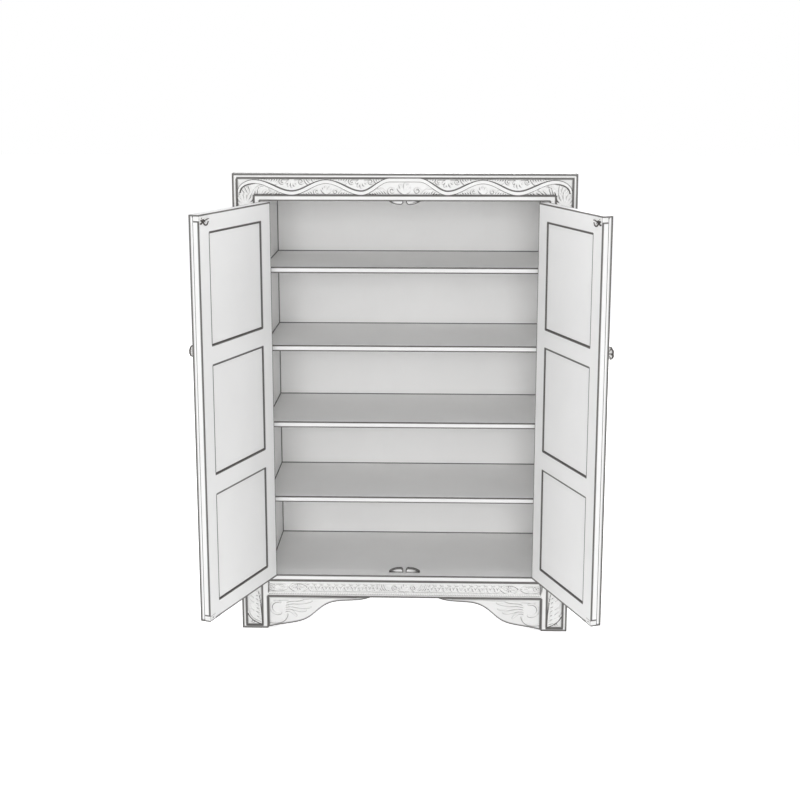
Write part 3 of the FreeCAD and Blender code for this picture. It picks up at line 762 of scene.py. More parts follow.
def ribbon_route():
    """The ribbon's middle line, a wave with a quarter turn down at each end, and its share of full width."""
    low = frieze_low + ribbon_width / 2 + 0.8 * mm
    top = frieze_high - ribbon_width / 2
    high = top - crest_drop
    turns = sorted([-x for x in crest_places + trough_places] + list(crest_places + trough_places))
    middles = {x: low for x in trough_places} | {x: high for x in crest_places} | {crest_places[0]: top}
    stops = [(x, middles[abs(x)]) for x in turns]
    wave = []
    for (x0, z0), (x1, z1) in zip(stops, stops[1:]):
        for share in np.linspace(0, 1, wave_steps)[:-1]:
            ease = (1 - math.cos(math.pi * share)) / 2
            wave.append((x0 * mm + (x1 - x0) * mm * share, z0 + (z1 - z0) * ease))
    last = crest_places[-1] * mm
    wave.append((last, high))
    out = channel_out - 5 * mm - last
    down = high - low - 2 * mm
    angles = np.linspace(0.08, math.pi / 2, turn_steps)
    quarter = [(last + out * math.sin(a), high - down * (1 - math.cos(a))) for a in angles]
    route = [(-x, z) for x, z in reversed(quarter)] + wave + quarter
    widening = list(np.linspace(ribbon_taper, 1, turn_steps))
    return np.array(route), np.array(widening + [1] * len(wave) + widening[::-1])


def size_tree(name, sizes):
    """A geometry tree with a geometry input, named sizes and a finish, and its first and last nodes."""
    tree = bpy.data.node_groups.new(name, "GeometryNodeTree")
    tree.interface.new_socket("Geometry", in_out="INPUT", socket_type="NodeSocketGeometry")
    tree.interface.new_socket("Geometry", in_out="OUTPUT", socket_type="NodeSocketGeometry")
    for size in sizes:
        tree.interface.new_socket(size, in_out="INPUT", socket_type="NodeSocketFloat")
    tree.interface.new_socket("Finish", in_out="INPUT", socket_type="NodeSocketMaterial")
    return tree, tree.nodes.new("NodeGroupInput"), tree.nodes.new("NodeGroupOutput")


def finished(tree, sizes, result, shape):
    """Ends a tree: the shape takes the finish and goes out."""
    finish = sizes.outputs["Finish"]
    painted = new_node(tree, "GeometryNodeSetMaterial", Geometry=shape.outputs[0], Material=finish)
    tree.links.new(painted.outputs[0], result.inputs[0])
    return tree


def grown(name, tree, seed_mesh, body, slot, place=None, node=None, **values):
    """Runs a geometry tree on a seed mesh with its sizes set, and keeps the plain mesh that it makes."""
    seed = in_scene(f"{name}_seed", seed_mesh)
    growth = seed.modifiers.new("growth", "NODES")
    growth.node_group = tree
    for socket in tree.interface.items_tree:
        if socket.in_out == "INPUT" and socket.name in values:
            growth[socket.identifier] = values[socket.name]
    bpy.context.view_layer.update()
    depsgraph = bpy.context.evaluated_depsgraph_get()
    mesh = bpy.data.meshes.new_from_object(seed.evaluated_get(depsgraph), depsgraph=depsgraph)
    bpy.data.objects.remove(seed)
    mesh.name = name
    if place is not None:
        mesh.transform(place)
    rides(in_scene(name, mesh), body, node)


def band_tree():
    """Sweeps a flat band with rounded edges along a line that lies in the face of the frieze."""
    tree, sizes, result = size_tree("flat_band", ("Width", "Stand", "Edge"))
    line = new_node(tree, "GeometryNodeMeshToCurve", Mesh=sizes.outputs["Geometry"])
    facing = new_node(
        tree, "GeometryNodeSetCurveNormal", {"mode": "FREE"}, Curve=line.outputs[0], Normal=(0, -1, 0)
    )
    width = sizes.outputs["Width"]
    stand = sizes.outputs["Stand"]
    profile = new_node(tree, "GeometryNodeCurvePrimitiveQuadrilateral", Width=stand, Height=width)
    fillet = {"Curve": profile.outputs[0], "Radius": sizes.outputs["Edge"], "Count": 3}
    rounded = new_node(tree, "GeometryNodeFilletCurve", {"mode": "POLY"}, **fillet)
    place = new_node(tree, "GeometryNodeInputPosition")
    parted = new_node(tree, "ShaderNodeSeparateXYZ", Vector=place.outputs[0])
    across = new_node(tree, "ShaderNodeMath", {"operation": "ABSOLUTE"}, Value=parted.outputs["Y"])
    edge_on = new_node(tree, "ShaderNodeMath", {"operation": "MULTIPLY"}, Value=width)
    edge_on.inputs[1].default_value = band_edge_share
    # Both edges of the band are marked for the dark grey: painted shade along the sides of the ribbon.
    waxed = new_node(tree, "FunctionNodeCompare", {"operation": "GREATER_THAN"}, A=across.outputs[0])
    tree.links.new(edge_on.outputs[0], waxed.inputs["B"])
    sided = new_node(tree, "GeometryNodeStoreNamedAttribute", Geometry=rounded.outputs[0], Name="hollow")
    tree.links.new(waxed.outputs[0], sided.inputs["Value"])
    taper = new_node(tree, "GeometryNodeInputNamedAttribute", Name="taper")
    sweep = {"Profile_Curve": sided.outputs[0], "Scale": taper.outputs[0], "Fill_Caps": True}
    band = new_node(tree, "GeometryNodeCurveToMesh", Curve=facing.outputs[0], **sweep)
    smooth = new_node(tree, "GeometryNodeSetShadeSmooth", Geometry=band.outputs[0])
    return finished(tree, sizes, result, smooth)


def tapered_line(name, places, taper):
    """The seed of a band: a row of places, each with its share of the band's full width."""
    line = bpy.data.meshes.new(name)
    line.from_pydata([tuple(place) for place in places], [(i, i + 1) for i in range(len(places) - 1)], [])
    line.attributes.new("taper", "FLOAT", "POINT").data.foreach_set("value", taper)
    return line


route, taper = ribbon_route()
ribbon_y = channel_ground - ribbon_stand / 2 + carving_root
flat_band = band_tree()
grown(
    "frieze_ribbon",
    flat_band,
    tapered_line("ribbon_line", [(x, ribbon_y, z) for x, z in route], taper),
    "root",
    "carved_front",
    Width=ribbon_width,
    Stand=ribbon_stand,
    Edge=ribbon_round,
    Finish=paint_along["x"],
)


def room_at(x, base, up):
    """The height left between a ground line and the ribbon's edge."""
    inner = np.abs(route[:, 0]) < crest_places[-1] * mm
    middle = np.interp(x * mm, route[inner, 0], route[inner, 1]) / mm
    return up * (middle - base) - 0.75 * ribbon_width / mm


def bay(carving, centre, base, up, half_span, size=1.0):
    """Leaf scrolls that fill one bay of the ribbon, rising from its base or hanging from it."""
    root = at(centre, base + up * 1.5)
    for aim, length in bay_fan:
        carving.lobe(root, math.radians(up * aim), length * size * mm, 0, leaf_width * size, leaf_height)
    carving.bead(at(centre, base + up * 3), 3.2 * mm, leaf_height)
    for side in (-1, 1):
        eye = at(centre + side * 27 * size, base + up * (2 + 8 * size))
        carving.volute(eye, 8 * size * mm, -math.pi / 2 * up, side * up * 1.1, 2.0 * size * mm, leaf_height)
        stem = [at(centre + side * run, base + up * 2) for run in (4, 0.8 * half_span)]
        carving.ridge(bow(stem, bow_steps), 1.6 * mm, leaf_height * 0.7)
        offset = 37 * size
        while offset < half_span:
            place = centre + side * offset
            room = min(room_at(place, base, up), room_at(place + side * 6, base, up), 20)
            if room < 4:
                break
            aim = math.radians(up * (90 - side * lean))
            length = room / math.sin(math.radians(90 - lean)) * mm
            swing = -0.5 * side * up
            carving.lobe(at(place, base + up * 2), aim, length, swing, leaf_width * 0.95, leaf_height)
            offset += leaf_pitch


frieze = field(-channel_out, channel_out, frieze_low, frieze_high, cell, 11)
frieze.open_beyond = channel_in
low_mm = frieze_low / mm
high_mm = frieze_high / mm
for side in (-1, 1):
    bay(frieze, side * crest_places[1], low_mm, 1, 96)
    for centre in trough_places:
        bay(frieze, side * centre, high_mm, -1, 92)
bay(frieze, 0, low_mm, 1, 100, 1.35)


def corner(carving, sign, low):
    """The palmette in a top corner and the leaf that rises from it under the ribbon's last crest."""
    carving.freehand = 0.0
    root = at(sign * 462, low - 31)
    for aim, length in palmette:
        carving.lobe(root, math.radians(aim), length * mm, 0, leaf_width * 1.15, leaf_height)
    carving.bead(root, 4 * mm, leaf_height)
    for run in (425, 432):
        place = at(sign * run, low + 1.5)
        carving.lobe(place, math.radians(90 + sign * 8), 21 * mm, sign * 0.3, 3.0 * mm, leaf_height)
    pegs = [at(sign * x, low + rise) for x, rise in ((440, 2), (430, 30), (404, 36), (388, 17))]
    carving.ridge(bow(pegs, bow_steps), np.linspace(2.6, 1.8, bow_steps) * mm, leaf_height * 0.9)
    carving.bead(at(sign * 389, low + 16), 3.4 * mm, leaf_height)
    for run, rise, aim in ((412, 3, 118), (404, 2.5, 126), (396, 2, 140)):
        lean_aim = math.radians(aim if sign > 0 else 180 - aim)
        carving.lobe(at(sign * run, low + rise), lean_aim, 15 * mm, sign * 0.5, 2.7 * mm, leaf_height * 0.9)
    for run in (446, 454, 463):
        aim = math.radians(90 - sign * (run - 440))
        length = (470 - run + 9) * mm
        carving.lobe(at(sign * run, low + 6), aim, length, -sign * 0.4, 3.0 * mm, leaf_height)
    for run in (378, 370, 362):
        room = room_at(run, low, 1)
        if room > 3:
            aim = math.radians(90 + sign * 36)
            length = room * 1.1 * mm
            carving.lobe(at(sign * run, low + 2), aim, length, sign * 0.4, 2.8 * mm, leaf_height * 0.9)
    carving.freehand = 1.0


for sign in (-1, 1):
    corner(frieze, sign, low_mm)
heading = np.gradient(route, axis=0)
heading /= np.linalg.norm(heading, axis=1)[:, None]
above = np.stack((-heading[:, 1], heading[:, 0]), axis=1)
below_crest = route[:, 1].max() - crest_drop - route[:, 1]
sunk = np.clip(1.7 * below_crest / (np.ptp(route[:, 1]) - crest_drop), 0, 1)
turned_down = np.clip((np.abs(route[:, 0]) / mm - crest_places[-1]) / 16 + 0.5, 0, 1)
# The ribbon's edges are cut as grooves of dark wax and painted shadow: bold on its upper edge where it dips
# into the troughs, and on its other edge where it turns down at the ends.
for side, bold in ((1, sunk * (1 - turned_down)), (-1, turned_down)):
    line = ribbon_thin_line + (ribbon_bold_line - ribbon_thin_line) * bold
    edge = route + side * above * (0.5 * ribbon_width * taper + 0.4 * line)[:, None]
    frieze.groove(edge, line)
frieze.piece("frieze_carving", paint_along["z"], channel_ground, channel_back, "root", "carved_front")


# The stiles' carving
# A vine cut in the stile's own wood climbs each channel in slow waves, with a scroll and a leaf in every
# bay. It springs from a broad leaf on the foot, and the palmette at its head runs on into the frieze.
vine_low = 118
vine_high = low_mm - 62
bays = 8
vine_leaves = (
    (((1, 0.08), (14, 0.16), (20, 0.34), (18, 0.5)), 6, 9 * mm, 0.9),
    (((4, 0.72), (17, 0.74), (20, 0.86), (14, 0.98)), 5, 10 * mm, 0.85),
)
for side, sign in (("left", -1), ("right", 1)):
    stile = field(channel_in, channel_out, foot_fillet, frieze_low, cell, 21 + sign)
    stile.walls = ("x_low", "x_high", "z_low")
    middle = (channel_in + channel_out) / 2 / mm
    under = bow([at(441, 14), at(458, 20), at(476, 30), at(483, 50)], bow_steps)
    stile.ridge(under, np.linspace(2.2, 3.4, bow_steps) * mm, leaf_height)
    for index in range(7):
        root = at(442 + 0.6 * index, 22 + 14 * index)
        length = (42 - 1.2 * index) * mm
        stile.lobe(root, math.radians(24), length, 0.5, 5.6 * mm, leaf_height)
        stile.lobe(root + at(6, 5.5), math.radians(34), 0.5 * length, 0.6, 3.0 * mm, leaf_height * 0.8)
    stile.ridge(bow([at(441, 12), at(442.5, 60), at(452, 118)], bow_steps), 2.2 * mm, leaf_height)
    stile.groove(under - at(0, 3.4) * np.linspace(0.7, 1, bow_steps)[:, None], 1.5 * mm)
    stile.volute(at(468, 20.5), 5 * mm, 0, 0.9, 1.6 * mm, leaf_height)
    pitch = (vine_high - vine_low) / bays
    rise = np.linspace(vine_low, vine_high, 700)
    sway = 13 * np.sin(math.pi * (rise - vine_low) / pitch)
    stile.ridge(np.stack((middle + sway, rise), axis=1) * mm, 2.0 * mm, leaf_height * 0.9)
    for index in range(bays):
        out = 1 if index % 2 == 0 else -1
        foot = vine_low + index * pitch
        eye = at(middle - out * 9, foot + 0.52 * pitch)
        stile.volute(eye, 12 * mm, -math.pi / 2, -out * 1.3, 2.1 * mm, leaf_height)
        stile.flower(eye, 6, 2.2 * mm, 7 * mm, 2.0 * mm, leaf_height)
        for (places, lobes, reach, splay), sides in zip(vine_leaves, ((out,), (1, -1))):
            pegs = [at(middle - out * across, foot + up * pitch) for across, up in places]
            stile.frond(pegs, lobes, reach, 2.6 * mm, leaf_height * 0.9, sides, splay)
    corner(stile, 1, low_mm)
    place = mirrored if sign < 0 else None
    stile.piece(
        f"{side}_stile_carving",
        paint_along["z"],
        channel_ground,
        channel_back,
        "root",
        "carved_front",
        place,
    )


# The rail's carving
# The rail under the floor has a narrow channel of husks between a shell in its middle and an eye and a
# rounded leaf at each end. A row of small beads runs below it, over the brackets.
rail_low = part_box("bottom_front_rail")[0]
rail_channel = (120 * mm, 147 * mm)
rail_half = 417 * mm
rail_cell = 0.85 * mm
husk_start = 84
husk_end = 286
husk_pitch = 22.4
fringe_levels = (111.6 * mm, 119.6 * mm)
fringe_height = 1.6 * mm
end_rim = ((362, 4), (372, 13), (404, 13), (414, 5))
end_leaf = ((358, 2), (370, 6), (392, 7))
bead_height = 109.9 * mm
bead_pitch = 3.6 * mm
bead_radius = 1.45 * mm

eased_part(
    "bottom_front_rail",
    "x",
    proud_of=("floor_board",),
    plain=[(None, None, level) for level in rail_channel],
    worn=((None, None, rail_low.z),),
)
rail = field(-rail_half, rail_half, *rail_channel, rail_cell, 41)
rail.walls = ("x_low", "x_high", "z_high")
rail.wall_share = 0.3
low, high = (level / mm for level in rail_channel)
middle = (low + high) / 2
for index in range(7):
    aim = math.radians(10 + index * 160 / 6)
    length = (21 - 5 * abs(index - 3) / 3) * mm
    rail.lobe(at(0, low + 4), aim, length, 0, 3.2 * mm, leaf_height)
rail.bead(at(0, low + 4.5), 3.4 * mm, leaf_height)
for sign in (-1, 1):
    rail.volute(at(sign * 27, middle + 1), 9.5 * mm, -math.pi / 2, sign * 1.2, 2.1 * mm, leaf_height)
    for index in range(5):
        root = at(sign * (40 + 8.2 * index), low + 3)
        aim = math.radians(90 - sign * (52 - 5 * index))
        rail.lobe(root, aim, 23 * mm, sign * 0.5, 3.0 * mm, leaf_height)
    stem = [at(sign * run, low + 2.2) for run in (30, husk_end)]
    rail.ridge(bow(stem, 500), 1.5 * mm, leaf_height * 0.65)
    for place in np.arange(husk_start, husk_end, husk_pitch):
        root = at(sign * place, low + 3)
        for turn in (-1, 1):
            rail.lobe(root, math.radians(90 - turn * 27), 19 * mm, -turn * 0.35, 2.7 * mm, leaf_height)
            rail.lobe(root, math.radians(90 - turn * 62), 11 * mm, turn * 0.6, 2.3 * mm, leaf_height * 0.85)
        rail.bead(at(sign * place, low + 15), 1.9 * mm, leaf_height)
        dash = [at(sign * (place + husk_pitch / 2) + run, high - 3.2) for run in (-4.2, 4.2)]
        rail.ridge(bow(dash, 12), 1.7 * mm, leaf_height * 0.8)
    near = sign * 296
    far = sign * 352
    for bend in (-1, 1):
        bulge = middle + bend * 17
        pegs = [at(near, middle), at(near + sign * 12, bulge), at(far - sign * 12, bulge), at(far, middle)]
        rail.ridge(bow(pegs, 80), 2.0 * mm, leaf_height)
    rail.flower(at(sign * 324, middle), 7, 2.6 * mm, 8.6 * mm, 2.1 * mm, leaf_height)
    for bend in (-1, 1):
        for run, turn in ((305, -90), (343, 90)):
            aim = math.radians(90 + sign * turn)
            rail.lobe(at(sign * run, middle), aim, 9 * mm, 0, 1.9 * mm, leaf_height * 0.8)
        pegs = [at(sign * run, middle + bend * rise) for run, rise in end_rim]
        rail.ridge(bow(pegs, 80), 2.2 * mm, leaf_height)
        pegs = [at(sign * run, middle + bend * rise) for run, rise in end_leaf]
        rail.frond(pegs, 4, 8 * mm, 2.1 * mm, leaf_height * 0.85, sides=(-bend * sign,), splay=0.7)
    start = math.pi / 2 - sign * math.pi / 2
    rail.volute(at(sign * 402, middle), 6.5 * mm, start, 0.9, 1.8 * mm, leaf_height)
rail.piece("rail_carving", paint_along["x"], channel_ground, channel_back, "root", "carved_front")

fringe = field(-rail_half, rail_half, *fringe_levels, rail_cell, 45)
fringe.walls = ("z_low",)
fringe.wall_share = 0.5
fringe.wall_reach = 0.9 * mm
for place in np.arange(-rail_half / mm + 4, rail_half / mm - 3, 5.4):
    turn = math.copysign(1, place)
    root = at(place, fringe_levels[0] / mm + 1)
    fringe.lobe(root, math.radians(90 - turn * 28), 7.5 * mm, turn * 0.5, 2.0 * mm, fringe_height)
fringe_ground = case_front - 0.3 * mm
fringe_back = case_front + carving_root
fringe.piece("rail_fringe", paint_along["x"], fringe_ground, fringe_back, "root", "carved_front")


def bead_tree():
    """Sets a small round bead on each point of the seed."""
    tree, sizes, result = size_tree("bead_row", ("Radius",))
    bead = new_node(tree, "GeometryNodeMeshIcoSphere", Radius=sizes.outputs["Radius"], Subdivisions=2)
    row = new_node(tree, "GeometryNodeInstanceOnPoints", Instance=bead.outputs[0])
    tree.links.new(sizes.outputs["Geometry"], row.inputs["Points"])
    solid = new_node(tree, "GeometryNodeRealizeInstances", Geometry=row.outputs[0])
    smooth = new_node(tree, "GeometryNodeSetShadeSmooth", Geometry=solid.outputs[0])
    return finished(tree, sizes, result, smooth)


bead_line = bpy.data.meshes.new("bead_line")
bead_count = int(2 * rail_half / bead_pitch)
bead_y = case_front - 0.2 * mm
bead_places = [(x, bead_y, bead_height) for x in np.linspace(-rail_half, rail_half, bead_count)]
bead_line.from_pydata(bead_places, [], [])
grown(
    "rail_beads",
    bead_tree(),
    bead_line,
    "root",
    "carved_front",
    Radius=bead_radius,
    Finish=paint_along["x"],
)


# The foot brackets
# Each is sawn to an ogee and fixed in the corner between foot and rail, a little behind them. Its face is
# carved with a scroll by the foot, an acanthus that points to the middle, and a trailing stem.
bracket_relief = 3.6 * mm
bracket_rows = 84
bracket_leaves = (
    (((368, 54), (352, 62), (343, 52), (334, 40)), 3.8),
    (((366, 62), (342, 70), (326, 52), (305, 57)), 4.0),
    (((366, 69), (342, 80), (318, 62), (290, 68)), 4.2),
    (((366, 76), (342, 88), (316, 76), (286, 88)), 3.9),
    (((364, 84), (346, 95), (328, 86), (310, 95)), 2.8),
)
bracket_stem = ((404, 90), (360, 92), (300, 97), (240, 96), (150, 99))


def bracket_edge(node):
    """Places along the lower edge of a bracket, from its slim end out to the foot."""
    low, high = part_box(node)
    edge = {}
    for vertex in frame["nodes"][node].data.vertices:
        if vertex.co.y < low.y + weld and vertex.co.z < high.z - weld:
            across = round(abs(vertex.co.x), 6)
            edge[across] = min(edge.get(across, high.z), vertex.co.z)
    return np.array(sorted(edge.items()))


for side, sign in (("left", -1), ("right", 1)):
    node = f"{side}_foot_bracket"
    low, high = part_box(node)
    edge = bracket_edge(node)
    slim = min(abs(low.x), abs(high.x))
    foot = max(abs(low.x), abs(high.x))
    across = np.linspace(slim, foot, int((foot - slim) / cell) + 1)
    bottom = np.interp(across, edge[:, 0], edge[:, 1])
    bracket = Carving(across, bottom, np.full(len(across), high.z), bracket_rows, 51 + sign)
    bracket.walls = ("x_high", "z_low", "z_high")
    bracket.wall_share = 1.8
    bracket.wall_reach = 2.0 * mm
    scroll = [at(391, 66) + compass(turn) * at(20, 19.5) for turn in np.linspace(2.0, -2.0, 110)]
    bracket.ridge(scroll, np.linspace(2.0, 3.6, 110) * mm, bracket_relief)
    under = bow([at(414, 19), at(384, 14), at(366, 22), at(363, 44)], bow_steps)
    bracket.ridge(under, np.linspace(1.8, 3.2, bow_steps) * mm, bracket_relief)
    for places, width in bracket_leaves:
        swell = 0.3 + 0.7 * np.sin(np.linspace(0.3, 2.85, bow_steps))
        pegs = [at(*place) for place in places]
        bracket.ridge(bow(pegs, bow_steps), width * swell * mm, bracket_relief * (0.7 + 0.3 * swell))
    stem = bow([at(*place) for place in bracket_stem], 240)
    bracket.ridge(stem, np.linspace(1.8, 0.9, 240) * mm, bracket_relief * 0.7)
    near_edge = np.clip((bracket.z - bottom[:, None]) / (2.5 * mm), 0, 1)
    bracket.height *= near_edge
    place = mirrored if sign < 0 else None
    ground = low.y + 0.6 * bracket_relief
    bracket.piece(
        f"{node}_carved",
        paint_along["x"],
        ground,
        high.y,
        "root",
        "carved_front",
        place,
        node,
    )


# The doors
# Each is a frame of two stiles and four rails tenoned together round three panels that float in grooves.
# The panels are fielded inside the frame, and the frame is eased all round, so that the door reads as one.
score_back = 12.5 * mm
for side in ("left", "right"):
    low, high = extents[f"{side}_door_meeting_stile"]
    free_edge = min(low[0], high[0], key=abs)
    worn = ((free_edge, low[1], None), (None, None, low[2]))
    scored = low[1] + score_back
    eased_part(f"{side}_door_hinge_stile", "z", inside_along_with_painted_light, worn=worn)
    eased_part(f"{side}_door_meeting_stile", "z", inside_along_with_painted_light, scored=scored, worn=worn)
    for place in ("bottom", "lower", "upper", "top"):
        eased_part(f"{side}_door_{place}_rail", "x", inside_along_with_painted_light, worn=worn)
    for place in ("bottom", "middle", "top"):
        eased_part(f"{side}_door_{place}_panel", "z", inside_along_with_painted_light)


# The panels' carving
# The outer face of each panel is carved by hand with a rosette in a ring, inside a border with a leaf in
# each corner. It is cut in the panel's own wood and painted with the door.
panel_relief = 5.2 * mm
panel_reveal = 1 * mm
panel_cell = 1.55 * mm
border_inset = 9
ring_radius = 104
rosette_radius = 52


def carve_panel(carving, centre_x, centre_z, half_x, half_z):
    """The rosette, its ring, the border and the corner leaves of one panel. All sizes are in millimetres."""
    centre = at(centre_x, centre_z)
    edge_x = half_x - border_inset
    edge_z = half_z - border_inset
    corners = [at(centre_x + a * edge_x, centre_z + b * edge_z) for a, b in square]
    for start, end in zip(corners, corners[1:] + corners[:1]):
        carving.ridge(bow([start, end], 400), 2.4 * mm, panel_relief * 0.7)
    turn = np.linspace(0, 2 * math.pi, 700)[:, None]
    circle = np.concatenate((np.cos(turn), np.sin(turn)), axis=1)
    carving.ridge(centre + ring_radius * mm * circle, 3.4 * mm, panel_relief * 0.85)
    carving.ridge(centre + (ring_radius - 9) * mm * circle, 1.6 * mm, panel_relief * 0.6)
    for index in range(16):
        aim = 2 * math.pi * (index + 0.5) / 16
        root = centre + (ring_radius - 15) * mm * compass(aim)
        carving.lobe(root, aim + math.pi + 0.5, 27 * mm, -0.9, 4.0 * mm, panel_relief * 0.85)
        carving.bead(centre + (ring_radius - 17) * mm * compass(aim + 0.2), 2.8 * mm, panel_relief * 0.8)
    for index in range(8):
        aim = 2 * math.pi * (index + 0.5) / 8
        carving.lobe(centre + 13 * mm * compass(aim), aim, 36 * mm, 0, 6.4 * mm, panel_relief * 0.75)
    carving.flower(centre, 8, 10 * mm, rosette_radius * mm, 8.6 * mm, panel_relief)
    carving.bead(centre, 11 * mm, panel_relief * 1.15)
    for a, b in square:
        root = at(centre_x + a * (edge_x - 7), centre_z + b * (edge_z - 7))
        inwards = math.atan2(-b, -a)
        for spread, length in ((0, 44), (0.36, 46), (-0.36, 46), (0.72, 44), (-0.72, 44)):
            bend = 0.5 * np.sign(spread)
            carving.lobe(root, inwards + spread, length * mm, bend, 4.6 * mm, panel_relief * 0.9)
        carving.bead(root, 5 * mm, panel_relief)
        for along, inward in (((a, 0), (0, b)), ((0, b), (a, 0))):
            along = np.array(along)
            inward = np.array(inward)
            pegs = [
                root - along * 40 * mm,
                root - along * 58 * mm - inward * 9 * mm,
                root - along * 84 * mm,
                root - along * 112 * mm + inward * mm,
            ]
            carving.frond(pegs, 6, 13 * mm, 3.0 * mm, panel_relief * 0.8, splay=0.8)


door_panels = (("bottom", "bottom", "lower"), ("middle", "lower", "upper"), ("top", "upper", "top"))
for order, side in enumerate(("left", "right")):
    body = f"{side}_door"
    stiles = (extents[f"{side}_door_hinge_stile"], extents[f"{side}_door_meeting_stile"])
    x_low = min(high[0] for low, high in stiles) + panel_reveal
    x_high = max(low[0] for low, high in stiles) - panel_reveal
    for level, (place, rail_below, rail_above) in enumerate(door_panels):
        z_low = extents[f"{side}_door_{rail_below}_rail"][1][2] + panel_reveal
        z_high = extents[f"{side}_door_{rail_above}_rail"][0][2] - panel_reveal
        face = extents[f"{side}_door_{place}_panel"][0][1]
        panel = field(x_low, x_high, z_low, z_high, panel_cell, 61 + 3 * order + level)
        middle_x = (x_low + x_high) / 2 / mm
        middle_z = (z_low + z_high) / 2 / mm
        carve_panel(panel, middle_x, middle_z, (x_high - x_low) / 2 / mm, (z_high - z_low) / 2 / mm)
        panel.piece(
            f"{side}_door_{place}_carving",
            paint_along["z"],
            face - ground_lift,
            face + carving_root,
            body,
            "painted_doors",
            opened(body),
        )


# The knobs
# A turned wooden knob stands on the meeting stile of each door, doweled through its collar. The right one
# is cut into a rosette and the left one is worn almost smooth. Dark wax and painted shade lie in their cuts.
knob_collar = ((0, 9.6), (0.8, 11), (2.6, 11), (3.4, 9.4), (4.6, 7.2))
knob_head_middle = 16.5
knob_head_half = 5.5
knob_head_radius = 16
knob_neck_turn = 0.46
knob_tip_turn = math.pi - 0.04
knob_stages = 34
knob_steps = 144
knob_button_radius = 5
knob_button_spread = 1.3
knob_sharp = math.radians(50)
knob_rim_half = 0.5
knob_wax_and_painted_shade = (0.06, 0.05, 0.045)
knob_bump = 0.0002


def knob_finish():
    """White paint over a carved knob, with dark wax and painted shade where the hollow attribute is high: in
    its cuts and under its collar, and the same dark round its rim.
    """
    finish, tree, surface = new_finish("knob_paint_with_wax_and_painted_shade", specular=0.45)
    patch = grain(tree, (1, 1, 1), 60, 4)
    paint = mixed(tree, levels(tree, patch, 0.35, 0.7), paint_white, paint_shade)
    hollow = new_node(tree, "ShaderNodeAttribute", {"attribute_name": "hollow"})
    wax_and_painted_shade = levels(tree, hollow.outputs["Fac"], 0.05, 0.8, 0.0, 0.97)
    tree.links.new(mixed(tree, wax_and_painted_shade, paint, knob_wax_and_painted_shade), surface.inputs["Base Color"])
    tree.links.new(levels(tree, patch, 0.3, 0.7, 0.34, 0.5), surface.inputs["Roughness"])
    raised(tree, surface, patch, knob_bump)
    return finish


def turned_knob(side, petals, depth, sharpness, bold):
    """A knob turned to a profile, its head cut into petals to a depth, drawn on the shut door."""
    low, high = extents[f"{side}_door_knob"]
    face = extents[f"{side}_door_meeting_stile"][0][1]
    middle = (low + high) / 2
    profile = [(away, radius, 0) for away, radius in knob_collar]
    for turn in np.linspace(knob_neck_turn, knob_tip_turn, knob_stages):
        away = bold * (knob_head_middle - knob_head_half * math.cos(turn))
        profile.append((away, bold * knob_head_radius * math.sin(turn), turn))
    places = []
    hollows = []
    for away, radius, turn in profile:
        for step in range(knob_steps):
            angle = 2 * math.pi * step / knob_steps
            near_cut = abs(math.sin(petals * angle / 2)) ** sharpness
            reach = math.sin(turn) ** 0.8 if turn else 0
            off_button = (radius - knob_button_radius) / knob_button_spread
            button = math.exp(-(off_button**2)) if turn > math.pi / 2 else 0
            cut = max((1 - near_cut) * reach, 0.7 * button)
            lean_in = depth * cut
            out = radius - lean_in * math.sin(turn)
            rise = away + lean_in * math.cos(turn) * knob_head_half / knob_head_radius
            rise += lean_in * 0.5 * math.cos(turn)
            x = middle[0] + out * mm * math.cos(angle)
            z = middle[2] + out * mm * math.sin(angle)
            places.append((x, face - rise * mm, z))
            # The cuts and the neck under the collar take dark wax and painted shade, and the rim is drawn
            # dark all round.
            rim = abs(turn - math.pi / 2) < knob_rim_half
            hollows.append(max(min(1, cut * depth / 1.2), rim) if turn else 0.8 * (3 < away < 4.7))
    ring = len(profile)
    tip = bold * (knob_head_middle + knob_head_half)
    places += [(middle[0], face, middle[2]), (middle[0], face - tip * mm, middle[2])]
    hollows += [0, 0]
    faces = []
    for row in range(ring - 1):
        for step in range(knob_steps):
            beside = (step + 1) % knob_steps
            a, b = row * knob_steps + step, row * knob_steps + beside
            faces.append((a, b, b + knob_steps, a + knob_steps))
    for step in range(knob_steps):
        beside = (step + 1) % knob_steps
        faces.append((ring * knob_steps, beside, step))
        last = (ring - 1) * knob_steps
        faces.append((ring * knob_steps + 1, last + step, last + beside))
    mesh = bpy.data.meshes.new(f"{side}_carved_knob")
    mesh.from_pydata(places, [], faces)
    mesh.attributes.new("hollow", "FLOAT", "POINT").data.foreach_set("value", hollows)
    shape = bmesh.new()
    shape.from_mesh(mesh)
    bmesh.ops.recalc_face_normals(shape, faces=shape.faces)
    shape.to_mesh(mesh)
    shape.free()
    mesh.transform(opened(f"{side}_door"))
    mesh.polygons.foreach_set("use_smooth", np.ones(len(mesh.polygons), bool))
    mesh.set_sharp_from_angle(angle=knob_sharp)
    mesh.materials.append(knob_paint_with_painted_shade)
    rides(in_scene(f"{side}_carved_knob", mesh), f"{side}_door", f"{side}_door_knob")


knob_paint_with_painted_shade = knob_finish()
turned_knob("left", 12, 0.45, 1.0, 1.02)
turned_knob("right", 6, 3.0, 0.45, 1.14)


# The hinges
# Three butt hinges a side are let flush into the stile and the door edge. They are old wrought iron, clouded
# with brown and pitted, and held by slotted screws.
iron_dark = (0.10, 0.095, 0.09)
iron_brown = (0.145, 0.128, 0.116)
iron_pits = (0.035, 0.03, 0.028)
pit_bump = 0.00025


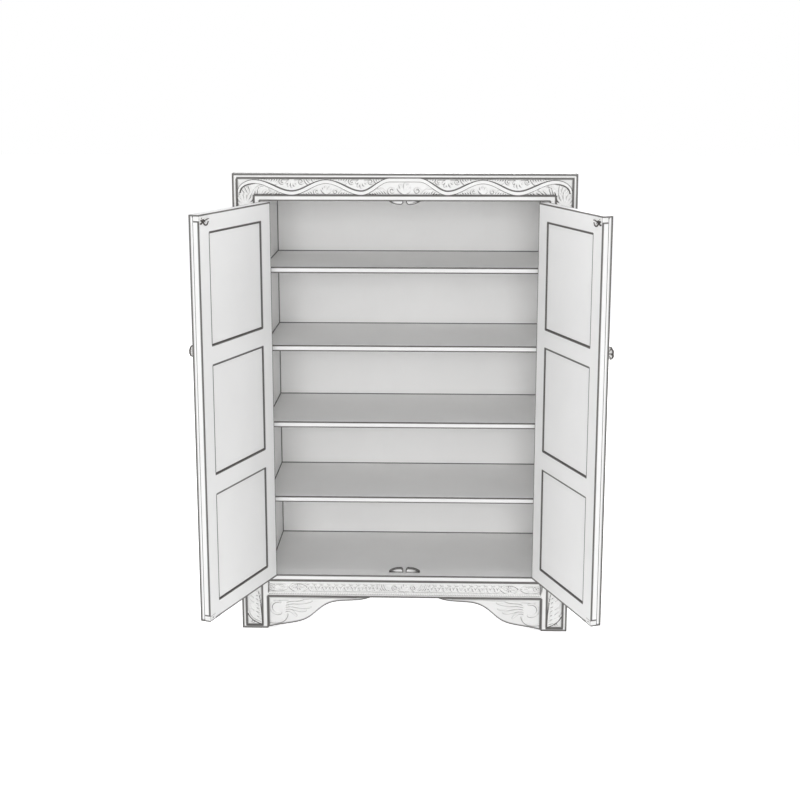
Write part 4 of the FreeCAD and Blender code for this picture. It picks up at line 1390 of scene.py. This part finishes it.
def aged_iron_finish():
    """Old iron, clouded with brown and pitted."""
    finish, tree, surface = new_finish("aged_iron", metallic=0.85, specular=0.5)
    pits = grain(tree, (1, 1, 1), 180, 6)
    cloud = grain(tree, (1, 1, 1), 34, 4)
    iron = mixed(tree, levels(tree, cloud, 0.4, 0.65), iron_dark, iron_brown)
    iron = mixed(tree, levels(tree, pits, 0.56, 0.72, 0, 0.8), iron, iron_pits)
    tree.links.new(iron, surface.inputs["Base Color"])
    tree.links.new(levels(tree, pits, 0.3, 0.7, 0.38, 0.68), surface.inputs["Roughness"])
    raised(tree, surface, pits, pit_bump)
    return finish


aged_iron = aged_iron_finish()
for node in ("hinge_frame_leaves", "hinge_pins", "left_hinge_door_leaves", "right_hinge_door_leaves"):
    frame["nodes"][node].material_slots[0].material = aged_iron


# The screws
# Every hinge leaf, catch and strike is fixed with slotted screws of the same old iron, driven in flush.
# Their slots lie turned as chance left them.
slot_half = 0.17
slot_floor = -0.3
head_stages = ((1, slot_floor), (1, -0.03), (0.93, 0.05))
shank_stages = ((0.5, -2.2), (0.5, -0.75), (0.985, slot_floor))
shank_steps = 16
strike_screw_radius = 2.4 * mm


def separate_solids(node):
    """The vertices of each loose solid of a node, on the shut cabinet."""
    shape = welded(node)
    shape.transform(shut[body_of(node)])
    left = set(shape.verts)
    solids = []
    while left:
        reached = [left.pop()]
        solid = []
        while reached:
            vertex = reached.pop()
            solid.append(tuple(vertex.co))
            for edge in vertex.link_edges:
                other = edge.other_vert(vertex)
                if other in left:
                    left.discard(other)
                    reached.append(other)
        solids.append(np.array(solid))
    shape.free()
    return solids


def screw_stand(solid):
    """Where a screw's head is, which way it faces, and its radius."""
    low, high = solid.min(0), solid.max(0)
    span = high - low
    along = int(np.argmax(span))
    across = [axis for axis in range(3) if axis != along]
    middle = (low + high) / 2
    radius = span[across[0]] / 2
    away = np.linalg.norm((solid - middle)[:, across], axis=1)
    end = np.median(solid[away > 0.9 * radius, along])
    facing = np.zeros(3)
    facing[along] = 1 if end > middle[along] else -1
    top = middle.copy()
    top[along] = high[along] if facing[along] > 0 else low[along]
    return top, facing, radius


def closed_stack(shape, rings):
    """Joins rings of vertices, from the lowest up, into a closed solid."""
    shape.faces.new(rings[0][::-1])
    shape.faces.new(rings[-1])
    for lower, upper in zip(rings, rings[1:]):
        for step in range(len(lower)):
            beside = (step + 1) % len(lower)
            shape.faces.new((lower[step], lower[beside], upper[beside], upper[step]))


def slotted_head():
    """A screw of unit radius that faces up: two half heads either side of the slot, a cone and a shank."""
    shape = bmesh.new()
    start = math.asin(slot_half)
    for side, turn in ((1, 0), (-1, math.pi)):
        angles = [start + (math.pi - 2 * start) * step / 9 + turn for step in range(10)]
        rings = []
        for radius, height in head_stages:
            ring = []
            for angle in angles:
                out = side * max(abs(radius * math.sin(angle)), slot_half)
                ring.append(shape.verts.new((radius * math.cos(angle), out, height)))
            rings.append(ring)
        closed_stack(shape, rings)
    rings = []
    for radius, height in shank_stages:
        around = [radius * compass(2 * math.pi * step / shank_steps) for step in range(shank_steps)]
        rings.append([shape.verts.new((*place, height)) for place in around])
    closed_stack(shape, rings)
    bmesh.ops.recalc_face_normals(shape, faces=shape.faces)
    mesh = bpy.data.meshes.new("slotted_head")
    shape.to_mesh(mesh)
    shape.free()
    return mesh


def screw_tree(head):
    """Sets the head on each point of the seed, turned by its turn and sized by its size."""
    tree, sizes, result = size_tree("slotted_screws", ())
    model = new_node(tree, "GeometryNodeObjectInfo", Object=head)
    turn = new_node(tree, "GeometryNodeInputNamedAttribute", {"data_type": "FLOAT_VECTOR"}, Name="turn")
    size = new_node(tree, "GeometryNodeInputNamedAttribute", Name="size")
    points = {"Points": sizes.outputs["Geometry"], "Instance": model.outputs["Geometry"]}
    stance = {"Rotation": turn.outputs[0], "Scale": size.outputs[0]}
    row = new_node(tree, "GeometryNodeInstanceOnPoints", **points, **stance)
    solid = new_node(tree, "GeometryNodeRealizeInstances", Geometry=row.outputs[0])
    return finished(tree, sizes, result, solid)


screw_seed = np.random.default_rng(5)
head_model = bpy.data.objects.new("slotted_head", slotted_head())
slotted_screws = screw_tree(head_model)


def screw_set(name, body, stands, node=None):
    """One mesh of slotted screws for a body, from their places on the shut cabinet."""
    points = bpy.data.meshes.new(f"{name}_places")
    points.from_pydata([opened(body) @ Vector(place) for place, facing, radius in stands], [], [])
    turns = []
    for place, facing, radius in stands:
        aim = Vector(facing).to_track_quat("Z", "Y").to_matrix().to_4x4()
        spin = Matrix.Rotation(screw_seed.uniform(0, math.pi), 4, "Z")
        turns += list((opened(body).to_3x3().to_4x4() @ aim @ spin).to_euler())
    points.attributes.new("turn", "FLOAT_VECTOR", "POINT").data.foreach_set("vector", turns)
    sizes = [radius for place, facing, radius in stands]
    points.attributes.new("size", "FLOAT", "POINT").data.foreach_set("value", sizes)
    grown(name, slotted_screws, points, body, "aged_iron", node=node, Finish=aged_iron)


for node in ("hinge_frame_screws", "left_hinge_door_screws", "right_hinge_door_screws", "catch_screws"):
    stands = [screw_stand(solid) for solid in separate_solids(node)]
    screw_set(f"{node}_slotted", body_of(node), stands, node)
for side in ("left", "right"):
    stands = []
    for plate in separate_solids(f"{side}_door_strikes"):
        top = (plate.min(0) + plate.max(0)) / 2
        top[1] = plate.max(0)[1]
        stands.append((top, (0, 1, 0), strike_screw_radius))
    screw_set(f"{side}_strike_screws", f"{side}_door", stands)


# The strikes
# A bent iron strike is screwed to the free corners of each door and painted over with it. Over the upper
# ones lie forged curls of bare iron, which end short of the catch.
waxed_edge = brushed_paint("waxed_edge", "x", 1.2)
strike_ease = 0.5 * mm
strike_shortest = 0.6 * mm
strike_curls = (
    ((411, 1300), (407, 1294), (403, 1303), (397, 1299)),
    ((412, 1291), (406, 1284), (403, 1300), (395, 1289)),
    ((399, 1301), (388, 1293), (378, 1302), (366, 1300)),
    ((398, 1297), (391, 1280), (374, 1281), (369, 1294)),
    ((404, 1297), (398, 1291), (392, 1299), (386, 1293)),
)
curl_width = 3.0 * mm
curl_proud = 2.2 * mm
curl_steps = 24
curl_taper = np.linspace(1, 0.6, curl_steps)
curl_round = 0.7 * mm
for side, sign in (("left", 1), ("right", -1)):
    strikes = f"{side}_door_strikes"
    eased_part(strikes, "x", rubbed=waxed_edge, ease=strike_ease, shortest=strike_shortest)
    hinge_x = extents[f"{side}_door_hinge_stile"][0 if side == "left" else 1][0] - sign * mm
    inner_y = extents[f"{side}_door_hinge_stile"][1][1]
    curl_stand = extents[strikes][1][1] - inner_y + curl_proud
    for number, pegs in enumerate(strike_curls):
        pegs = [(hinge_x + sign * u * mm, inner_y + curl_stand / 2, z * mm) for u, z in pegs]
        grown(
            f"{side}_strike_curl_{number + 1}",
            flat_band,
            tapered_line("curl_line", bow(pegs, curl_steps), curl_taper),
            f"{side}_door",
            "aged_iron",
            opened(f"{side}_door"),
            Width=curl_width,
            Stand=curl_stand,
            Edge=curl_round,
            Finish=aged_iron,
        )


# The catches
# Four half-drop blocks of cast iron stop the shut doors, two on the floor board and two under the head. They
# are painted over with the inside, and the paint is rubbed dark round their faces.
catch_outline = 4 * mm
catch_face = 10 * mm
catches = welded("door_catches")
hollow = catches.loops.layers.float.new("hollow")
flat_faces = [face for face in catches.faces if face.calc_area() > catch_face**2]
bmesh.ops.inset_individual(catches, faces=flat_faces, thickness=catch_outline, use_even_offset=True)
for face in catches.faces:
    for loop in face.loops:
        inner = any(linked in flat_faces for linked in loop.vert.link_faces)
        loop[hollow] = 0.0 if inner else 1.0
catch_mesh = bpy.data.meshes.new("painted_catches")
catches.to_mesh(catch_mesh)
catches.free()
catch_mesh.materials.append(inside_along_with_painted_light["x"])
rides(in_scene("painted_catches", catch_mesh), "root", "door_catches")
